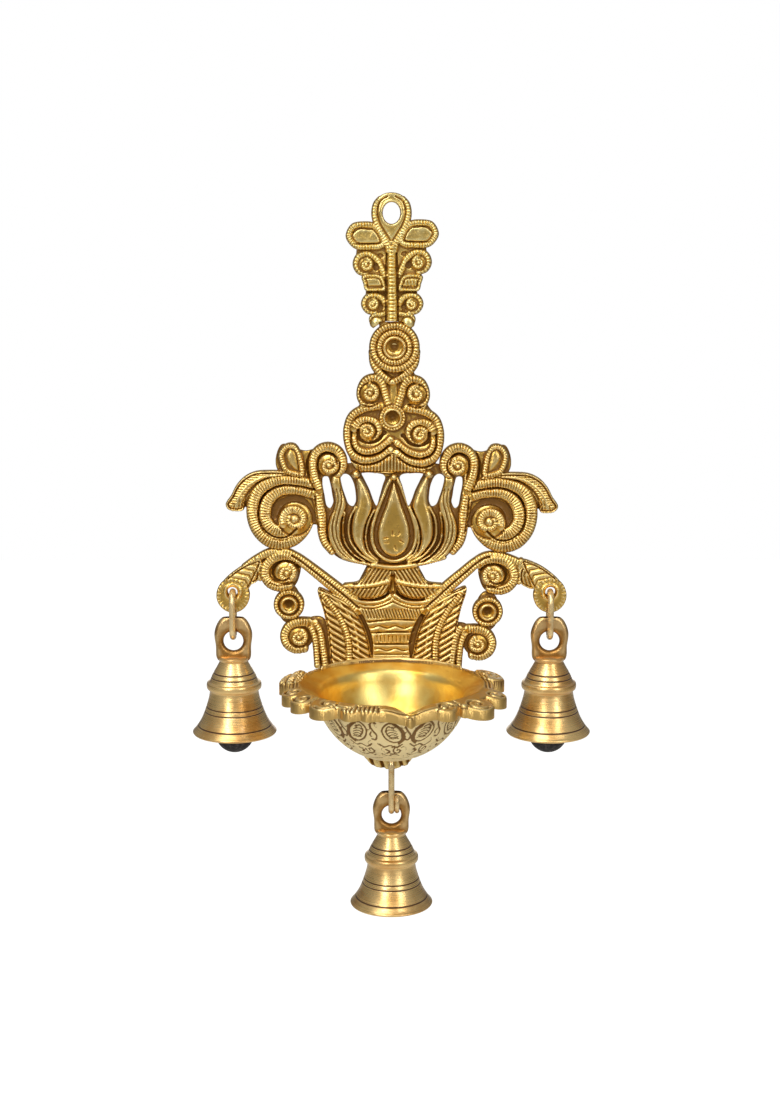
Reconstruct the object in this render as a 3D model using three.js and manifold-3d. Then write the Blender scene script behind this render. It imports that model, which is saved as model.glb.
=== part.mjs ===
// Hanging wall diya in cast brass: a pierced back panel with a hanging finial, an oil bowl and
// three bells on wire links. Millimetres, +Z up, the front faces -Y and the wall plane is y = 0.
// The origin is the centre of the hanging eye on the wall plane.
import * as THREE from "three";
import { mergeVertices } from "three/addons/utils/BufferGeometryUtils.js";
import Module from "manifold-3d";

const wasm = await Module();
wasm.setup();

// Overall sizes: over the lips of the side bells, and from the hanging eye to the bottom lip
const WIDTH = 167.2;
const HEIGHT = 292;

// Relief heights above the wall plane
const WEB = 2.2;
const BAND = 4.2;
const PETAL = 3.4;
const DOME = 5;
const ARM = 3.9;
const DRAFT = 0.62; // width of a band's crest over its foot
const CHAMFER = 0.7;

// Hanging eye, and the lobes that the bells hang from
const EYE_HOLE = 3.5;
const LINK_HOLE = 2.1;
const LOBE_THICK = 3.6;
const LOBE_RADIUS = 7.2;
const LOBE_DROP = 1.5; // its centre below the link hole

// Wire links
const WIRE = 1.3;
const LINK_BEND = 4.6;
const SIDE_LINK = 19.3;
const TAIL_LINK = 25.3;

// Bells, heights down from the top of the lug
const LUG_HALF = 7.8;
const LUG_THICK = 3.8;
const LUG_HOLE = 4.1;
const LUG_HOLE_DROP = 11.5;
const NECK_DROP = 19.5;
const NECK_RADIUS = 6.2;
const CROWN_THICK = 3.4;
const RING_DROP = 29.2;
const RING_RADIUS = 11.4;
const RING_HEIGHT = 2.7;
const WAIST_RADIUS = 10.4; // of the body just under the ring
const LIP_DROP = 51;
const LIP_RADIUS = 17.6;
const BELL_WALL = 1.8;
const HOLE_TO_WIRE = 1.7; // the wire's bottom bend sits this far above the lug hole's centre

// Clappers
const STAPLE_WIRE = 0.8;
const STAPLE_BEND = 2.2;
const STAPLE_DROP = 5;
const EYE_WIRE = 0.7;
const EYE_BEND = 1.9;
const EYE_SAG = 0.15;
const SIDE_BALL = 8.2;
const TAIL_BALL = 6;
const SIDE_BALL_DROP = 51.5;
const TAIL_BALL_DROP = 40;
const BALL_FLAT = 1.2;

// Oil bowl
const BOWL_Y = -39;
const BELLY_RADIUS = 31;
const BOWL_DEPTH = 31.5;
const BOWL_WALL = 2;
const FLANGE_RADIUS = 38.4;
const FLANGE_THICK = 4.4;
const OPENING = 34.2; // radius of the opening along the wall's normal
const OPENING_ACROSS = 36.8;
const SHOULDER = 2.4; // how far the shoulder inside the rim slopes down
const SPOUT = 40; // reach of the pointed spout in front
const BOSS_RISE = 1; // the two bosses stand this far above the rim
const PAD_HALF = 12;
const PAD_DEPTH = 13;
const PAD_DROP = 13;
const PANEL_FRONT = 2.8; // thickness of the flat seat behind the bowl
const SEAT_HALF = 21; // half the width of that seat

// Screws that hold the bowl
const SCREW_X = 7;
const SCREW_DROP = 7.5; // below the rim
const SCREW_RADIUS = 1.5;
const SCREW_HEAD = 3.2;
const SCREW_LENGTH = 8;
const SCREW_LAND = 0.3;
const SCREW_GAP = 0.3;

// Tongue of the finial, brazed into a pocket behind the tower's roundel
const LAP_HALF = 5;
const LAP_LENGTH = 9;
const LAP_THICK = 1.5;
const LAP_GAP = 0.3;

// Places that follow from the overall sizes
const SIDE_BELL_X = WIDTH / 2 - LIP_RADIUS;
const TAIL_HOLE_Z = TAIL_LINK + HOLE_TO_WIRE + LIP_DROP - LUG_HOLE_DROP - HEIGHT;

// The relief is drawn on a grid of 66 by 225.5, stretched between the links' holes
const across = (x) => (x * SIDE_BELL_X) / 66;
const down = (z) => (z * TAIL_HOLE_Z) / 225.5;
const stretched = (body) => solid(geometryOf(body).scale(across(1), -down(1), 1));

const SIDE_HOLE_Z = down(155.5);
const RIM_Z = down(184.5);
const SCREW_Z = RIM_Z - SCREW_DROP;
const LAP_TOP = down(44);
const LAP_BOTTOM = LAP_TOP - LAP_LENGTH;
const CROWN = LUG_HOLE_DROP - NECK_DROP - CROWN_THICK; // inner face of the bell's crown
const PAST = 1; // how far a cut runs past what it cuts

const FACETS = 12;
const BELL_FACETS = 16;

const brass = { color: 0xb8913f, roughness: 0.38, metalness: 1 };
const material = (spec) => new THREE.MeshStandardMaterial(spec);

// A closed geometry as a solid, turned the right way out
function solid(geometry) {
  const bare = geometry.clone();
  bare.deleteAttribute("normal");
  bare.deleteAttribute("uv");
  const merged = mergeVertices(bare, 1e-4);
  const at = merged.attributes.position;
  const index = new Uint32Array(merged.index.array);
  const [a, b, c] = [0, 1, 2].map(() => new THREE.Vector3());
  let volume = 0;
  for (let i = 0; i < index.length; i += 3) {
    a.fromBufferAttribute(at, index[i]);
    b.fromBufferAttribute(at, index[i + 1]);
    c.fromBufferAttribute(at, index[i + 2]);
    volume += a.dot(b.cross(c));
  }
  if (volume < 0)
    for (let i = 0; i < index.length; i += 3)
      [index[i + 1], index[i + 2]] = [index[i + 2], index[i + 1]];
  const mesh = new wasm.Mesh({ numProp: 3, vertProperties: at.array, triVerts: index });
  return new wasm.Manifold(mesh);
}

// A solid as a three.js geometry
function geometryOf(body) {
  const mesh = body.getMesh();
  const made = new THREE.BufferGeometry();
  made.setAttribute("position", new THREE.BufferAttribute(mesh.vertProperties, 3));
  made.setIndex(new THREE.BufferAttribute(mesh.triVerts, 1));
  made.computeVertexNormals();
  return made;
}

const joined = (bodies) => bodies.reduce((sum, body) => sum.add(body));
const vec = (x, y, z = 0) => new THREE.Vector3(x, y, z);
const flip = (points) => points.map(([x, y]) => [-x, y]);

// A smooth closed outline through a few points
function smooth(points, steps = points.length) {
  const curve = new THREE.CatmullRomCurve3(points.map(([x, y]) => vec(x, y)), true);
  return curve.getPoints(steps).slice(0, -1).map((p) => [p.x, p.y]);
}

// A smooth open line through a few points
function line(points, steps = Math.round(points.length * 1.15)) {
  const curve = new THREE.CatmullRomCurve3(points.map(([x, y]) => vec(x, y)));
  return curve.getPoints(steps).map((p) => [p.x, p.y]);
}

// Points along a spiral, angles in degrees
function spiral(x, y, from, to, start, sweep, steps = Math.ceil(Math.abs(sweep) / 50)) {
  return Array.from({ length: steps + 1 }, (_, i) => {
    const t = i / steps;
    const angle = THREE.MathUtils.degToRad(start + sweep * t);
    const r = from + (to - from) * t;
    return [x + r * Math.cos(angle), y + r * Math.sin(angle)];
  });
}

// An outline moved inwards by a distance, corner by corner
function inset(outline, distance) {
  const turn = THREE.ShapeUtils.area(outline.map(([x, y]) => new THREE.Vector2(x, y))) < 0 ? -1 : 1;
  return outline.map(([x, y], i) => {
    const before = outline[(i + outline.length - 1) % outline.length];
    const after = outline[(i + 1) % outline.length];
    const along = vec(after[0] - before[0], after[1] - before[1]).normalize();
    return [x - along.y * distance * turn, y + along.x * distance * turn];
  });
}

// A solid through rings of corners, each ring with the same number of corners
function lofted(rings) {
  const count = rings[0].length;
  const cap = THREE.ShapeUtils.triangulateShape(rings[0].map(([x, y]) => new THREE.Vector2(x, y)), []);
  const top = count * (rings.length - 1);
  const faces = cap.flatMap(([a, b, c]) => [a, c, b, top + a, top + b, top + c]);
  const turn = THREE.ShapeUtils.area(rings[0].map(([x, y]) => new THREE.Vector2(x, y))) < 0;
  for (let ring = 0; ring < rings.length - 1; ring += 1)
    for (let i = 0; i < count; i += 1) {
      const [p, q] = [ring * count + i, ring * count + ((i + 1) % count)];
      if (turn) faces.push(p, q + count, q, p, p + count, q + count);
      else faces.push(p, q, q + count, p, q + count, p + count);
    }
  const made = new THREE.BufferGeometry();
  made.setAttribute("position", new THREE.Float32BufferAttribute(rings.flat(2), 3));
  made.setIndex(faces);
  return solid(made);
}

const level = (outline, z) => outline.map(([x, y]) => [x, y, z]);

// A plate with a chamfered front edge, standing on the wall plane
function slab(outline, height, chamfer = CHAMFER) {
  return lofted([
    level(outline, 0),
    level(outline, height - chamfer),
    level(inset(outline, chamfer), height),
  ]);
}

// A straight prism between two depths
function prism(outline, low, high) {
  const shape = new THREE.Shape(outline.map(([x, y]) => new THREE.Vector2(x, y)));
  const made = new THREE.ExtrudeGeometry(shape, { depth: high - low, bevelEnabled: false });
  return solid(made.translate(0, 0, low));
}

// A sheet behind the relief
const sheet = (outline) => prism(outline, 0, WEB);

// A drafted band along a line, its width changing evenly from one end to the other
function band(path, from, to, height = BAND) {
  const corners = [];
  path.forEach(([x, y], i) => {
    const before = path[Math.max(i - 1, 0)];
    const after = path[Math.min(i + 1, path.length - 1)];
    const along = vec(after[0] - before[0], after[1] - before[1]).normalize();
    const half = (from + ((to - from) * i) / (path.length - 1)) / 2;
    for (const [side, z] of [[-1, 0], [-DRAFT, height], [DRAFT, height], [1, 0]])
      corners.push(x - along.y * half * side, y + along.x * half * side, z);
  });
  const faces = [];
  for (let i = 0; i < path.length - 1; i += 1)
    for (let k = 0; k < 4; k += 1) {
      const [p, q] = [4 * i + k, 4 * i + ((k + 1) % 4)];
      faces.push(p, q, q + 4, p, q + 4, p + 4);
    }
  const last = 4 * (path.length - 1);
  faces.push(0, 2, 1, 0, 3, 2, last, last + 1, last + 2, last, last + 2, last + 3);
  const made = new THREE.BufferGeometry();
  made.setAttribute("position", new THREE.Float32BufferAttribute(corners, 3));
  made.setIndex(faces);
  return solid(made);
}

// A round form turned about the viewing axis: the profile is [radius, height]
function turned(x, y, profile, facets = FACETS) {
  const made = new THREE.LatheGeometry(profile.map(([r, h]) => new THREE.Vector2(r, h)), facets);
  return solid(made.rotateX(Math.PI / 2).translate(x, y, 0));
}

// A roundel: a raised border round a conical pit
function roundel(x, y, r, height = BAND + 0.4) {
  return turned(x, y, [
    [0, 0],
    [r, 0],
    [r, height - 1.2],
    [r * 0.88, height],
    [r * 0.42, height],
    [0, height - 2.4],
  ]);
}

// A domed head
function dome(x, y, r, height = DOME) {
  return turned(x, y, [
    [0, 0],
    [r, 0],
    [r, height * 0.62],
    [r * 0.6, height * 0.92],
    [0, height],
  ], 6);
}

// A curled head: a disc web, a band that winds in over it, and a domed eye
function scroll(x, y, side, curl) {
  const { outer, inner, start, sweep, width, eye } = curl;
  const hand = side > 0 ? (points) => points : flip;
  const rim = Math.max(inner, outer - width / 2) + width / 8;
  return joined([
    turned(x * side, y, [[0, 0], [rim, 0], [rim, WEB], [0, WEB]], 9),
    band(hand(spiral(x, y, outer, inner, start, sweep)), width, width * 0.8),
    dome(x * side, y, eye),
  ]);
}

// A slab with a sunken middle inside a raised border
function dished(outline, inner, height = PETAL, floor = 1.2) {
  return slab(outline, height).subtract(prism(inner, height - floor, height + PAST));
}

// The roundel at the top of the tower, on the relief's grid
const CREST = { z: -54, radius: 10.2 };

// Both hands of a form drawn on the left
const pair = (make) => [make((points) => points, 1), make(flip, -1)];

// Both halves of an outline that crosses the middle at its first and last points
const whole = (half) => [...half, ...flip(half.slice(1, -1)).reverse()];

// Finial: the hanging eye, a sheet behind the stem, and two tiers of leaves and curls
function finialRelief() {
  const eye = [[0, 7.6], [-4.2, 6.4], [-7.4, 2.6], [-7.8, -2], [-5.4, -7.4], [0, -11.5]];
  const behind = [[0, -7], [-13, -9], [-14.4, -20.4], [-12.4, -25], [-10.6, -31], [-10.8, -37.4],
    [-8.2, -42], [-7.8, -46], [0, -46]];
  const forms = [
    slab(smooth(whole(eye), 20), BAND),
    sheet(whole(behind)),
    band(line([[0, -10], [0, -27], [0, -45]], 2), 4.8, 4, BAND + 0.4),
  ];
  for (const hand of pair((mirror, side) => joined([
    slab(smooth(mirror([[-3, -8], [-6.4, -4.4], [-11, -3.6], [-16.2, -4.6], [-18.8, -9.4],
      [-15.4, -14.6], [-8.5, -15.4], [-2, -15.4]]), 11), PETAL),
    band(line(mirror([[-2.2, -26], [-5.4, -19.6], [-9.6, -16.9], [-13.2, -17.9], [-14.2, -20.8],
      [-12.8, -23.6]]), 8), 2.8, 2.4),
    dome(-10.8 * side, -20.8, 2.8, PETAL + 0.8),
    slab(mirror([[-2, -24.4], [-12, -26], [-11.6, -31], [-6, -31.8], [-2, -33]]), PETAL - 0.5),
    band(line(mirror([[-2, -42], [-4, -36.6], [-6.6, -33.6], [-9.8, -34], [-11.2, -37],
      [-9, -40.4]]), 8), 2.6, 2.2),
    dome(-8.1 * side, -37, 2.4, PETAL + 0.6),
    dome(-5.4 * side, -44, 3, PETAL - 0.4),
  ]))) forms.push(hand);
  return joined(forms);
}

// The corners of an ellipse about a centre
function oval(x, y, rx, ry, facets = FACETS) {
  return Array.from({ length: facets }, (_, i) => {
    const angle = (2 * Math.PI * i) / facets;
    return [x + rx * Math.cos(angle), y + ry * Math.sin(angle)];
  });
}

const box = (x0, x1, y0, y1, z0, z1) => prism([[x0, y0], [x1, y0], [x1, y1], [x0, y1]], z0, z1);

// The finial's tongue, or with a gap the pocket that takes it
function tongue(gap = 0) {
  const half = LAP_HALF + gap;
  return box(-half, half, LAP_BOTTOM - gap, LAP_TOP + PAST, gap ? -PAST : 0, LAP_THICK + gap);
}

// The finial, cut round the tower's roundel, with its eye and its tongue
function finialBody() {
  const reach = CREST.radius + LAP_GAP;
  const clear = prism(oval(0, CREST.z, reach, reach, 24), -PAST, BAND * 2);
  const eye = prism(oval(0, 0, EYE_HOLE, EYE_HOLE * 1.2), -PAST, BAND * 2);
  return stretched(finialRelief().subtract(clear)).subtract(eye).add(tongue());
}

// Tower above the lotus: roundel, two tiers of scrolls and the fan
function towerRelief() {
  const forms = [
    sheet([[-7, -60], [-8.4, -65], [-13.6, -68], [-13.6, -78], [-19.2, -85], [-19.2, -97],
      [-13, -105.5], [13, -105.5], [19.2, -97], [19.2, -85], [13.6, -78], [13.6, -68], [8.4, -65],
      [7, -60]]),
    roundel(0, CREST.z, CREST.radius),
    roundel(0, -82.6, 4.4),
    slab([[0, -97], [13.6, -104.2], [12.8, -106.4], [-12.8, -106.4], [-13.6, -104.2]], PETAL),
  ];
  for (const hand of pair((mirror, side) => joined([
    band(line(mirror([[-2, -64], [-6, -66], [-3, -70]])), 3, 2),
    scroll(-10, -71.8, side, { outer: 5, inner: 4.2, start: 60, sweep: 300, width: 2.6, eye: 3.2 }),
    band(line(mirror([[-1.5, -76], [-7, -77.2], [-13, -79.5], [-17.5, -84], [-18.6, -91],
      [-14, -96.4], [-7, -95.6], [0, -91.5]]), 11), 3, 2.6),
    dome(-10.5 * side, -87.6, 5.2),
    band(line(mirror([[0, -94.6], [-6.5, -99.4], [-13.5, -100.6], [-18.5, -96.6]]), 6), 2.8, 2.8),
  ]))) forms.push(hand);
  return forms;
}

// Lotus between two volutes
function lotusRelief() {
  const heart = [[0, -107], [-4, -115], [-8.6, -124], [-10.2, -132], [-6, -140], [0, -143.2]];
  const drop = [[0, -111], [-2.8, -118], [-5.6, -126], [-6.2, -133], [-3.6, -138.6], [0, -140.4]];
  const forms = [
    dished(smooth(whole(heart), 14), smooth(whole(drop), 12), PETAL + 1),
    band([[-22, -139.6], [-12, -143.6], [0, -145.2], [12, -143.6], [22, -139.6]], 3, 3),
    sheet([[-31, -110], [-24.4, -112], [24.4, -112], [31, -110], [33, -127], [20, -143], [-20, -143],
      [-33, -127]]),
    dome(0, -107, 1.8, PETAL + 1),
  ];
  for (const hand of pair((mirror, side) => joined([
    slab(smooth(mirror([[-15.4, -104.4], [-12.6, -107], [-8.6, -116], [-7.4, -126], [-8, -136],
      [-6, -143], [-15, -142], [-19, -134], [-18.6, -124], [-15, -115], [-16.4, -108]])), PETAL),
    slab(smooth(mirror([[-24, -105], [-20.6, -109], [-18.4, -117], [-19.6, -128], [-14, -142],
      [-22, -141], [-27, -131], [-26.4, -121], [-23.4, -114]])), PETAL - 0.4),
    dome(-15.2 * side, -106, 2.4, PETAL + 0.6),
    band(line(mirror([[-33, -102], [-31.4, -109], [-29, -117], [-28.6, -126], [-27.6, -134],
      [-22, -141]]), 7), 3.4, 3),
    scroll(-26.6, -101, side, { outer: 6.6, inner: 5, start: 200, sweep: -290, width: 3.2, eye: 3.6 }),
    slab(smooth(mirror([[-31, -108], [-34.5, -98], [-42, -92.8], [-47.6, -97.4], [-46.6, -103.4],
      [-42, -108]])), PETAL),
    slab(smooth(mirror([[-31, -108], [-46, -104.6], [-57, -105.4], [-64.6, -110.4],
      [-69, -117.4], [-67.4, -120.8], [-58, -120], [-50, -116], [-38, -112]])), PETAL),
    scroll(-45, -123, side, { outer: 12.8, inner: 11.6, start: 40, sweep: 330, width: 4.2, eye: 4 }),
    band(mirror(spiral(-44.6, -122.6, 7.4, 6.2, 40, 250)), 3.8, 3.6),
    dome(-41.6 * side, -124.6, 4.8),
  ]))) forms.push(hand);
  return forms;
}

// Arms that carry the side bells
function armRelief() {
  const forms = [];
  for (const hand of pair((mirror, side) => joined([
    band(line(mirror([[-17, -160], [-25.5, -152.4], [-33, -146], [-40, -141.4], [-46, -140],
      [-53, -141.6], [-60, -146.4], [-65, -152]]), 12), 6, 6, ARM),
    scroll(-44, -148, side, { outer: 7.3, inner: 6, start: 60, sweep: 330, width: 3, eye: 3.2 }),
    slab(smooth(mirror([[-53, -142], [-60, -144], [-60.4, -152.6], [-54.6, -151.4]])), PETAL),
    roundel(-41.6 * side, -161.2, 7, ARM),
    scroll(-37.4, -174.4, side, { outer: 6.4, inner: 5, start: 120, sweep: 330, width: 3, eye: 2.8 }),
    band(line(mirror([[-38, -168], [-33, -170.4], [-29.6, -177.4], [-27, -187]])), 3, 3),
    sheet(smooth(mirror([[-32, -169], [-26, -180], [-26, -188], [-31, -188], [-33, -178]]))),
  ]))) forms.push(hand);
  return forms;
}

// Pot between the arms, with leaves at its sides and the tail behind the bowl
function potRelief() {
  const forms = [
    slab([[-9.6, -143.4], [9.6, -143.4], [14, -152], [22, -156], [20, -166], [18, -189],
      [-18, -189], [-20, -166], [-22, -156], [-14, -152]], PANEL_FRONT),
    slab([[-18, -186], [18, -186], [11, -206], [-11, -206]], PANEL_FRONT),
    slab([[-11, -204], [11, -204], [10.6, -226], [7.6, -230.4], [0, -232.4], [-7.6, -230.4],
      [-10.6, -226]], LOBE_THICK),
    slab([[-13.6, -160.4], [13.6, -160.4], [7.4, -182], [-7.4, -182]], PETAL + 0.4),
    band(line([[-16, -158.6], [-8, -161.6], [0, -157.8], [8, -161.6], [16, -158.6]], 10), 3, 3),
    slab([[-9.6, -144.4], [9.6, -144.4], [13.6, -151.4], [0, -153], [-13.6, -151.4]], PETAL),
  ];
  for (const hand of pair((mirror) => joined([
    slab(smooth(mirror([[-0.6, -151], [-10, -152.6], [-20.4, -152.4], [-15, -157.6],
      [-7, -159.4], [-0.8, -156]])), PETAL + 0.6),
    slab(smooth(mirror([[-30.6, -153.4], [-23, -158.6], [-16.6, -168], [-12.6, -178],
      [-13, -188], [-27, -188], [-30.4, -176], [-29.6, -164]])), PETAL - 0.4),
    band(line(mirror([[-29.4, -154.6], [-22.6, -163.6], [-19, -173], [-18.4, -187]])), 2.4, 2.4),
  ]))) forms.push(hand);
  return forms;
}

// The gaps between the petals of one hand
const petalGaps = (mirror) => joined([
  smooth(mirror([[-27.6, -107.6], [-24.8, -107.6], [-23.6, -117], [-25.6, -120], [-27.4, -116]])),
  smooth(mirror([[-20.8, -106.6], [-17.6, -106.6], [-14.6, -115], [-15.4, -119.6],
    [-17.2, -119.4]])),
  mirror([[-12, -106.6], [-3.4, -107], [-7, -119.2]]),
].map((outline) => prism(outline, -PAST, BAND * 2)));

// A lobe at the end of an arm, round a link's hole
const endLobe = (x) => turned(x, SIDE_HOLE_Z - LOBE_DROP, [
  [0, 0],
  [LOBE_RADIUS, 0],
  [LOBE_RADIUS, LOBE_THICK - CHAMFER],
  [LOBE_RADIUS - CHAMFER, LOBE_THICK],
  [0, LOBE_THICK],
], 16);

// The panel, pierced for the links, the screws and the lap, and flat where the bowl sits
function panelBody() {
  const forms = [...towerRelief(), ...lotusRelief(), ...armRelief(), ...potRelief()];
  const relief = stretched(joined(forms).subtract(joined(pair(petalGaps))));
  const sides = [-SIDE_BELL_X, SIDE_BELL_X];
  const cuts = [...sides.map((x) => [x, SIDE_HOLE_Z]), [0, TAIL_HOLE_Z]].map(([x, z]) =>
    prism(oval(x, z, LINK_HOLE, LINK_HOLE), -PAST, BAND * 2));
  cuts.push(...[-SCREW_X, SCREW_X].map((x) => screwBody(x, SCREW_GAP)));
  cuts.push(tongue(LAP_GAP));
  cuts.push(box(-SEAT_HALF, SEAT_HALF, RIM_Z - BOWL_DEPTH, RIM_Z + BOSS_RISE, PANEL_FRONT, BAND * 2));
  return joined([relief, ...sides.map(endLobe)]).subtract(joined(cuts));
}

// A countersunk screw along the viewing axis, its head flush with the wall plane
function screwBody(x, gap = 0) {
  const [r, head] = [SCREW_RADIUS + gap, SCREW_HEAD + gap];
  const low = gap ? -PAST : 0;
  return turned(x, SCREW_Z, [
    [0, low],
    [head, low],
    [head, SCREW_LAND],
    [r, SCREW_LAND + head - r],
    [r, SCREW_LENGTH + gap],
    [0, SCREW_LENGTH + gap],
  ]);
}

// From drawing axes (x right, y up, z towards the viewer) to the part's own axes
const stand = (body) => geometryOf(body).rotateX(Math.PI / 2);

// A form turned about the upright axis: the profile is [radius, height]
function upright(profile, facets) {
  const points = profile.map(([r, z]) => new THREE.Vector2(r, z));
  return solid(new THREE.LatheGeometry(points, facets).rotateX(Math.PI / 2));
}

// A point of the bowl's plan by its reach from the axis and its turn from the front
function around(reach, turn) {
  const angle = THREE.MathUtils.degToRad(turn);
  return [reach * Math.sin(angle), -reach * Math.cos(angle)];
}

// A pointed outline that reaches over the front of a ring by a spout
const pointed = (reach) => [around(reach * 0.85, -12), [0, -reach], around(reach * 0.85, 12), [0, 0]];

// The lobes round the flange: reach and radius as shares of the flange's radius, the turn from
// the front in degrees, and the height over the rim
const LOBES = [
  { reach: 0.93, turn: 20, radius: 0.12, rise: 0 },
  { reach: 0.95, turn: 46, radius: 0.182, rise: 0 },
  { reach: 1, turn: 70, radius: 0.146, rise: 0 },
  { reach: 1.058, turn: 103, radius: 0.136, rise: BOSS_RISE },
  { reach: 1.053, turn: 113, radius: 0.136, rise: BOSS_RISE },
];

// The hollow of the bowl: a deep belly under a broad shoulder that slopes from the rim
function bowlHollow() {
  const deep = BELLY_RADIUS - BOWL_WALL;
  const floor = BOWL_DEPTH - BOWL_WALL;
  const belly = [0, 22, 45, 68, 90].map((turn) => {
    const angle = THREE.MathUtils.degToRad(turn);
    return [deep * Math.sin(angle), -floor * Math.cos(angle)];
  });
  const shoulder = lofted([
    level(oval(0, 0, deep - PAST, deep - PAST, 26), -SHOULDER - PAST),
    level(oval(0, 0, OPENING_ACROSS, OPENING, 26), 0),
    level(oval(0, 0, OPENING_ACROSS, OPENING, 26), BOSS_RISE + PAST),
  ]);
  const spout = prism(pointed(SPOUT - BOWL_WALL), -SHOULDER / 2, BOSS_RISE + PAST);
  return joined([upright([...belly, [0, 0]], 26), shoulder, spout]);
}

// The oil bowl with its lobed flange and the pad that sits on the panel, round its own axis
function bowlBody() {
  const belly = [0, 18, 36, 54, 70, 84].map((turn) => {
    const angle = THREE.MathUtils.degToRad(turn);
    return [BELLY_RADIUS * Math.sin(angle), -BOWL_DEPTH * Math.cos(angle)];
  });
  const forms = [
    upright([...belly, [FLANGE_RADIUS, -FLANGE_THICK * 0.8], [FLANGE_RADIUS, 0], [0, 0]], 26),
    prism(pointed(SPOUT), -FLANGE_THICK, 0),
  ];
  for (const side of [-1, 1])
    for (const { reach, turn, radius, rise } of LOBES) {
      const [x, y] = around(reach * FLANGE_RADIUS, turn * side);
      const lobe = oval(x, y, radius * FLANGE_RADIUS, radius * FLANGE_RADIUS, 10);
      forms.push(prism(lobe, -FLANGE_THICK, rise));
    }
  const back = -BOWL_Y - PANEL_FRONT;
  forms.push(box(-PAD_HALF, PAD_HALF, back - PAD_DEPTH, back, -PAD_DROP, -SHOULDER));
  const bores = [-SCREW_X, SCREW_X].map((x) =>
    solid(stand(screwBody(x, SCREW_GAP)).translate(0, -BOWL_Y, -RIM_Z)));
  const behind = box(-WIDTH, WIDTH, back, WIDTH, -BOWL_DEPTH, BOSS_RISE + PAST);
  return joined(forms).subtract(joined([bowlHollow(), behind, ...bores]));
}

// A wire along a closed or open line in the plane across the wall
function wire(path, radius, closed, sides = 8) {
  const rings = path.map(([y, z], i) => {
    const before = path[closed ? (i + path.length - 1) % path.length : Math.max(i - 1, 0)];
    const after = path[closed ? (i + 1) % path.length : Math.min(i + 1, path.length - 1)];
    const along = vec(after[0] - before[0], after[1] - before[1]).normalize();
    return Array.from({ length: sides }, (_, k) => {
      const angle = (2 * Math.PI * k) / sides;
      const out = radius * Math.cos(angle);
      return [radius * Math.sin(angle), y + along.y * out, z - along.x * out];
    });
  });
  const count = rings.length;
  const faces = [];
  for (let i = 0; i < (closed ? count : count - 1); i += 1)
    for (let k = 0; k < sides; k += 1) {
      const [p, q] = [i * sides + k, i * sides + ((k + 1) % sides)];
      const step = ((i + 1) % count) * sides - i * sides;
      faces.push(p, q, q + step, p, q + step, p + step);
    }
  if (!closed)
    for (let k = 1; k < sides - 1; k += 1) {
      const last = (count - 1) * sides;
      faces.push(0, k + 1, k, last, last + k, last + k + 1);
    }
  const made = new THREE.BufferGeometry();
  made.setAttribute("position", new THREE.Float32BufferAttribute(rings.flat(2), 3));
  made.setIndex(faces);
  return solid(made);
}

// An arc in the plane across the wall, angles in degrees from +Y towards +Z
const arc = (y, z, r, from, to, steps) => spiral(y, z, r, r, from, to - from, steps);

// A link: two bends and two straight strands, its top bend's wire at height 0
function linkBody(length) {
  const low = -length + 2 * LINK_BEND;
  const top = arc(0, -LINK_BEND, LINK_BEND, 0, 180, 6);
  const bottom = arc(0, low - LINK_BEND, LINK_BEND, 180, 360, 6);
  return wire([...top, ...bottom], WIRE, true, 7);
}

// A bell with its lug, the lug's hole centre at height 0
function bellBody() {
  const drop = (d) => LUG_HOLE_DROP - d;
  const ringEnd = RING_DROP + RING_HEIGHT;
  const outer = [
    [0, NECK_DROP - 1.5],
    [NECK_RADIUS, NECK_DROP - 1.2],
    [NECK_RADIUS - 0.4, NECK_DROP + 0.5],
    [(NECK_RADIUS + RING_RADIUS) / 2, RING_DROP - 4],
    [RING_RADIUS - 1, RING_DROP],
    [RING_RADIUS, RING_DROP + 0.5],
    [RING_RADIUS, ringEnd - 0.5],
    [WAIST_RADIUS, ringEnd + 0.4],
    [WAIST_RADIUS + 1.4, LIP_DROP - 11.6],
    [WAIST_RADIUS + 3.6, LIP_DROP - 6],
    [LIP_RADIUS - 1, LIP_DROP - 1.8],
    [LIP_RADIUS, LIP_DROP - 0.6],
    [LIP_RADIUS - 0.3, LIP_DROP],
  ].map(([r, d]) => [r, drop(d)]);
  const inner = [
    [LIP_RADIUS - BELL_WALL, LIP_DROP],
    [WAIST_RADIUS + 2.2, LIP_DROP - 6],
    [WAIST_RADIUS, LIP_DROP - 10.6],
    [WAIST_RADIUS - 1.6, ringEnd],
    [WAIST_RADIUS - 2.2, RING_DROP - 0.6],
  ].map(([r, d]) => [r, drop(d)]);
  inner.push([NECK_RADIUS - 0.8, CROWN], [0, CROWN]);
  const foot = -LUG_HOLE_DROP + BELL_WALL;
  const lug = prism([
    ...arc(0, 0.6, LUG_HALF, 12, 168, 9).map(([x, y]) => [x, y * 1.32]),
    [-LUG_HALF, -LUG_HOLE],
    [-NECK_RADIUS, foot],
    [NECK_RADIUS, foot],
    [LUG_HALF, -LUG_HOLE],
  ], -LUG_THICK / 2, LUG_THICK / 2).subtract(prism(oval(0, 0, LUG_HOLE, LUG_HOLE), -LUG_THICK, LUG_THICK));
  return upright([...outer, ...inner], BELL_FACETS).add(solid(stand(lug)));
}

const group = new THREE.Group();

// Adds a named mesh of a material at a place
function place(name, geometry, spec = brass, at = [0, 0, 0], turn = [0, 0, 0]) {
  const mesh = new THREE.Mesh(geometry, material(spec));
  mesh.name = name;
  mesh.position.set(...at);
  mesh.rotation.set(...turn);
  group.add(mesh);
}

place("back_panel", stand(panelBody()));
place("finial", stand(finialBody()));
place("diya_bowl", geometryOf(bowlBody()), brass, [0, BOWL_Y, RIM_Z]);
place("screw_left", stand(screwBody(-SCREW_X)));
place("screw_right", stand(screwBody(SCREW_X)));

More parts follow.
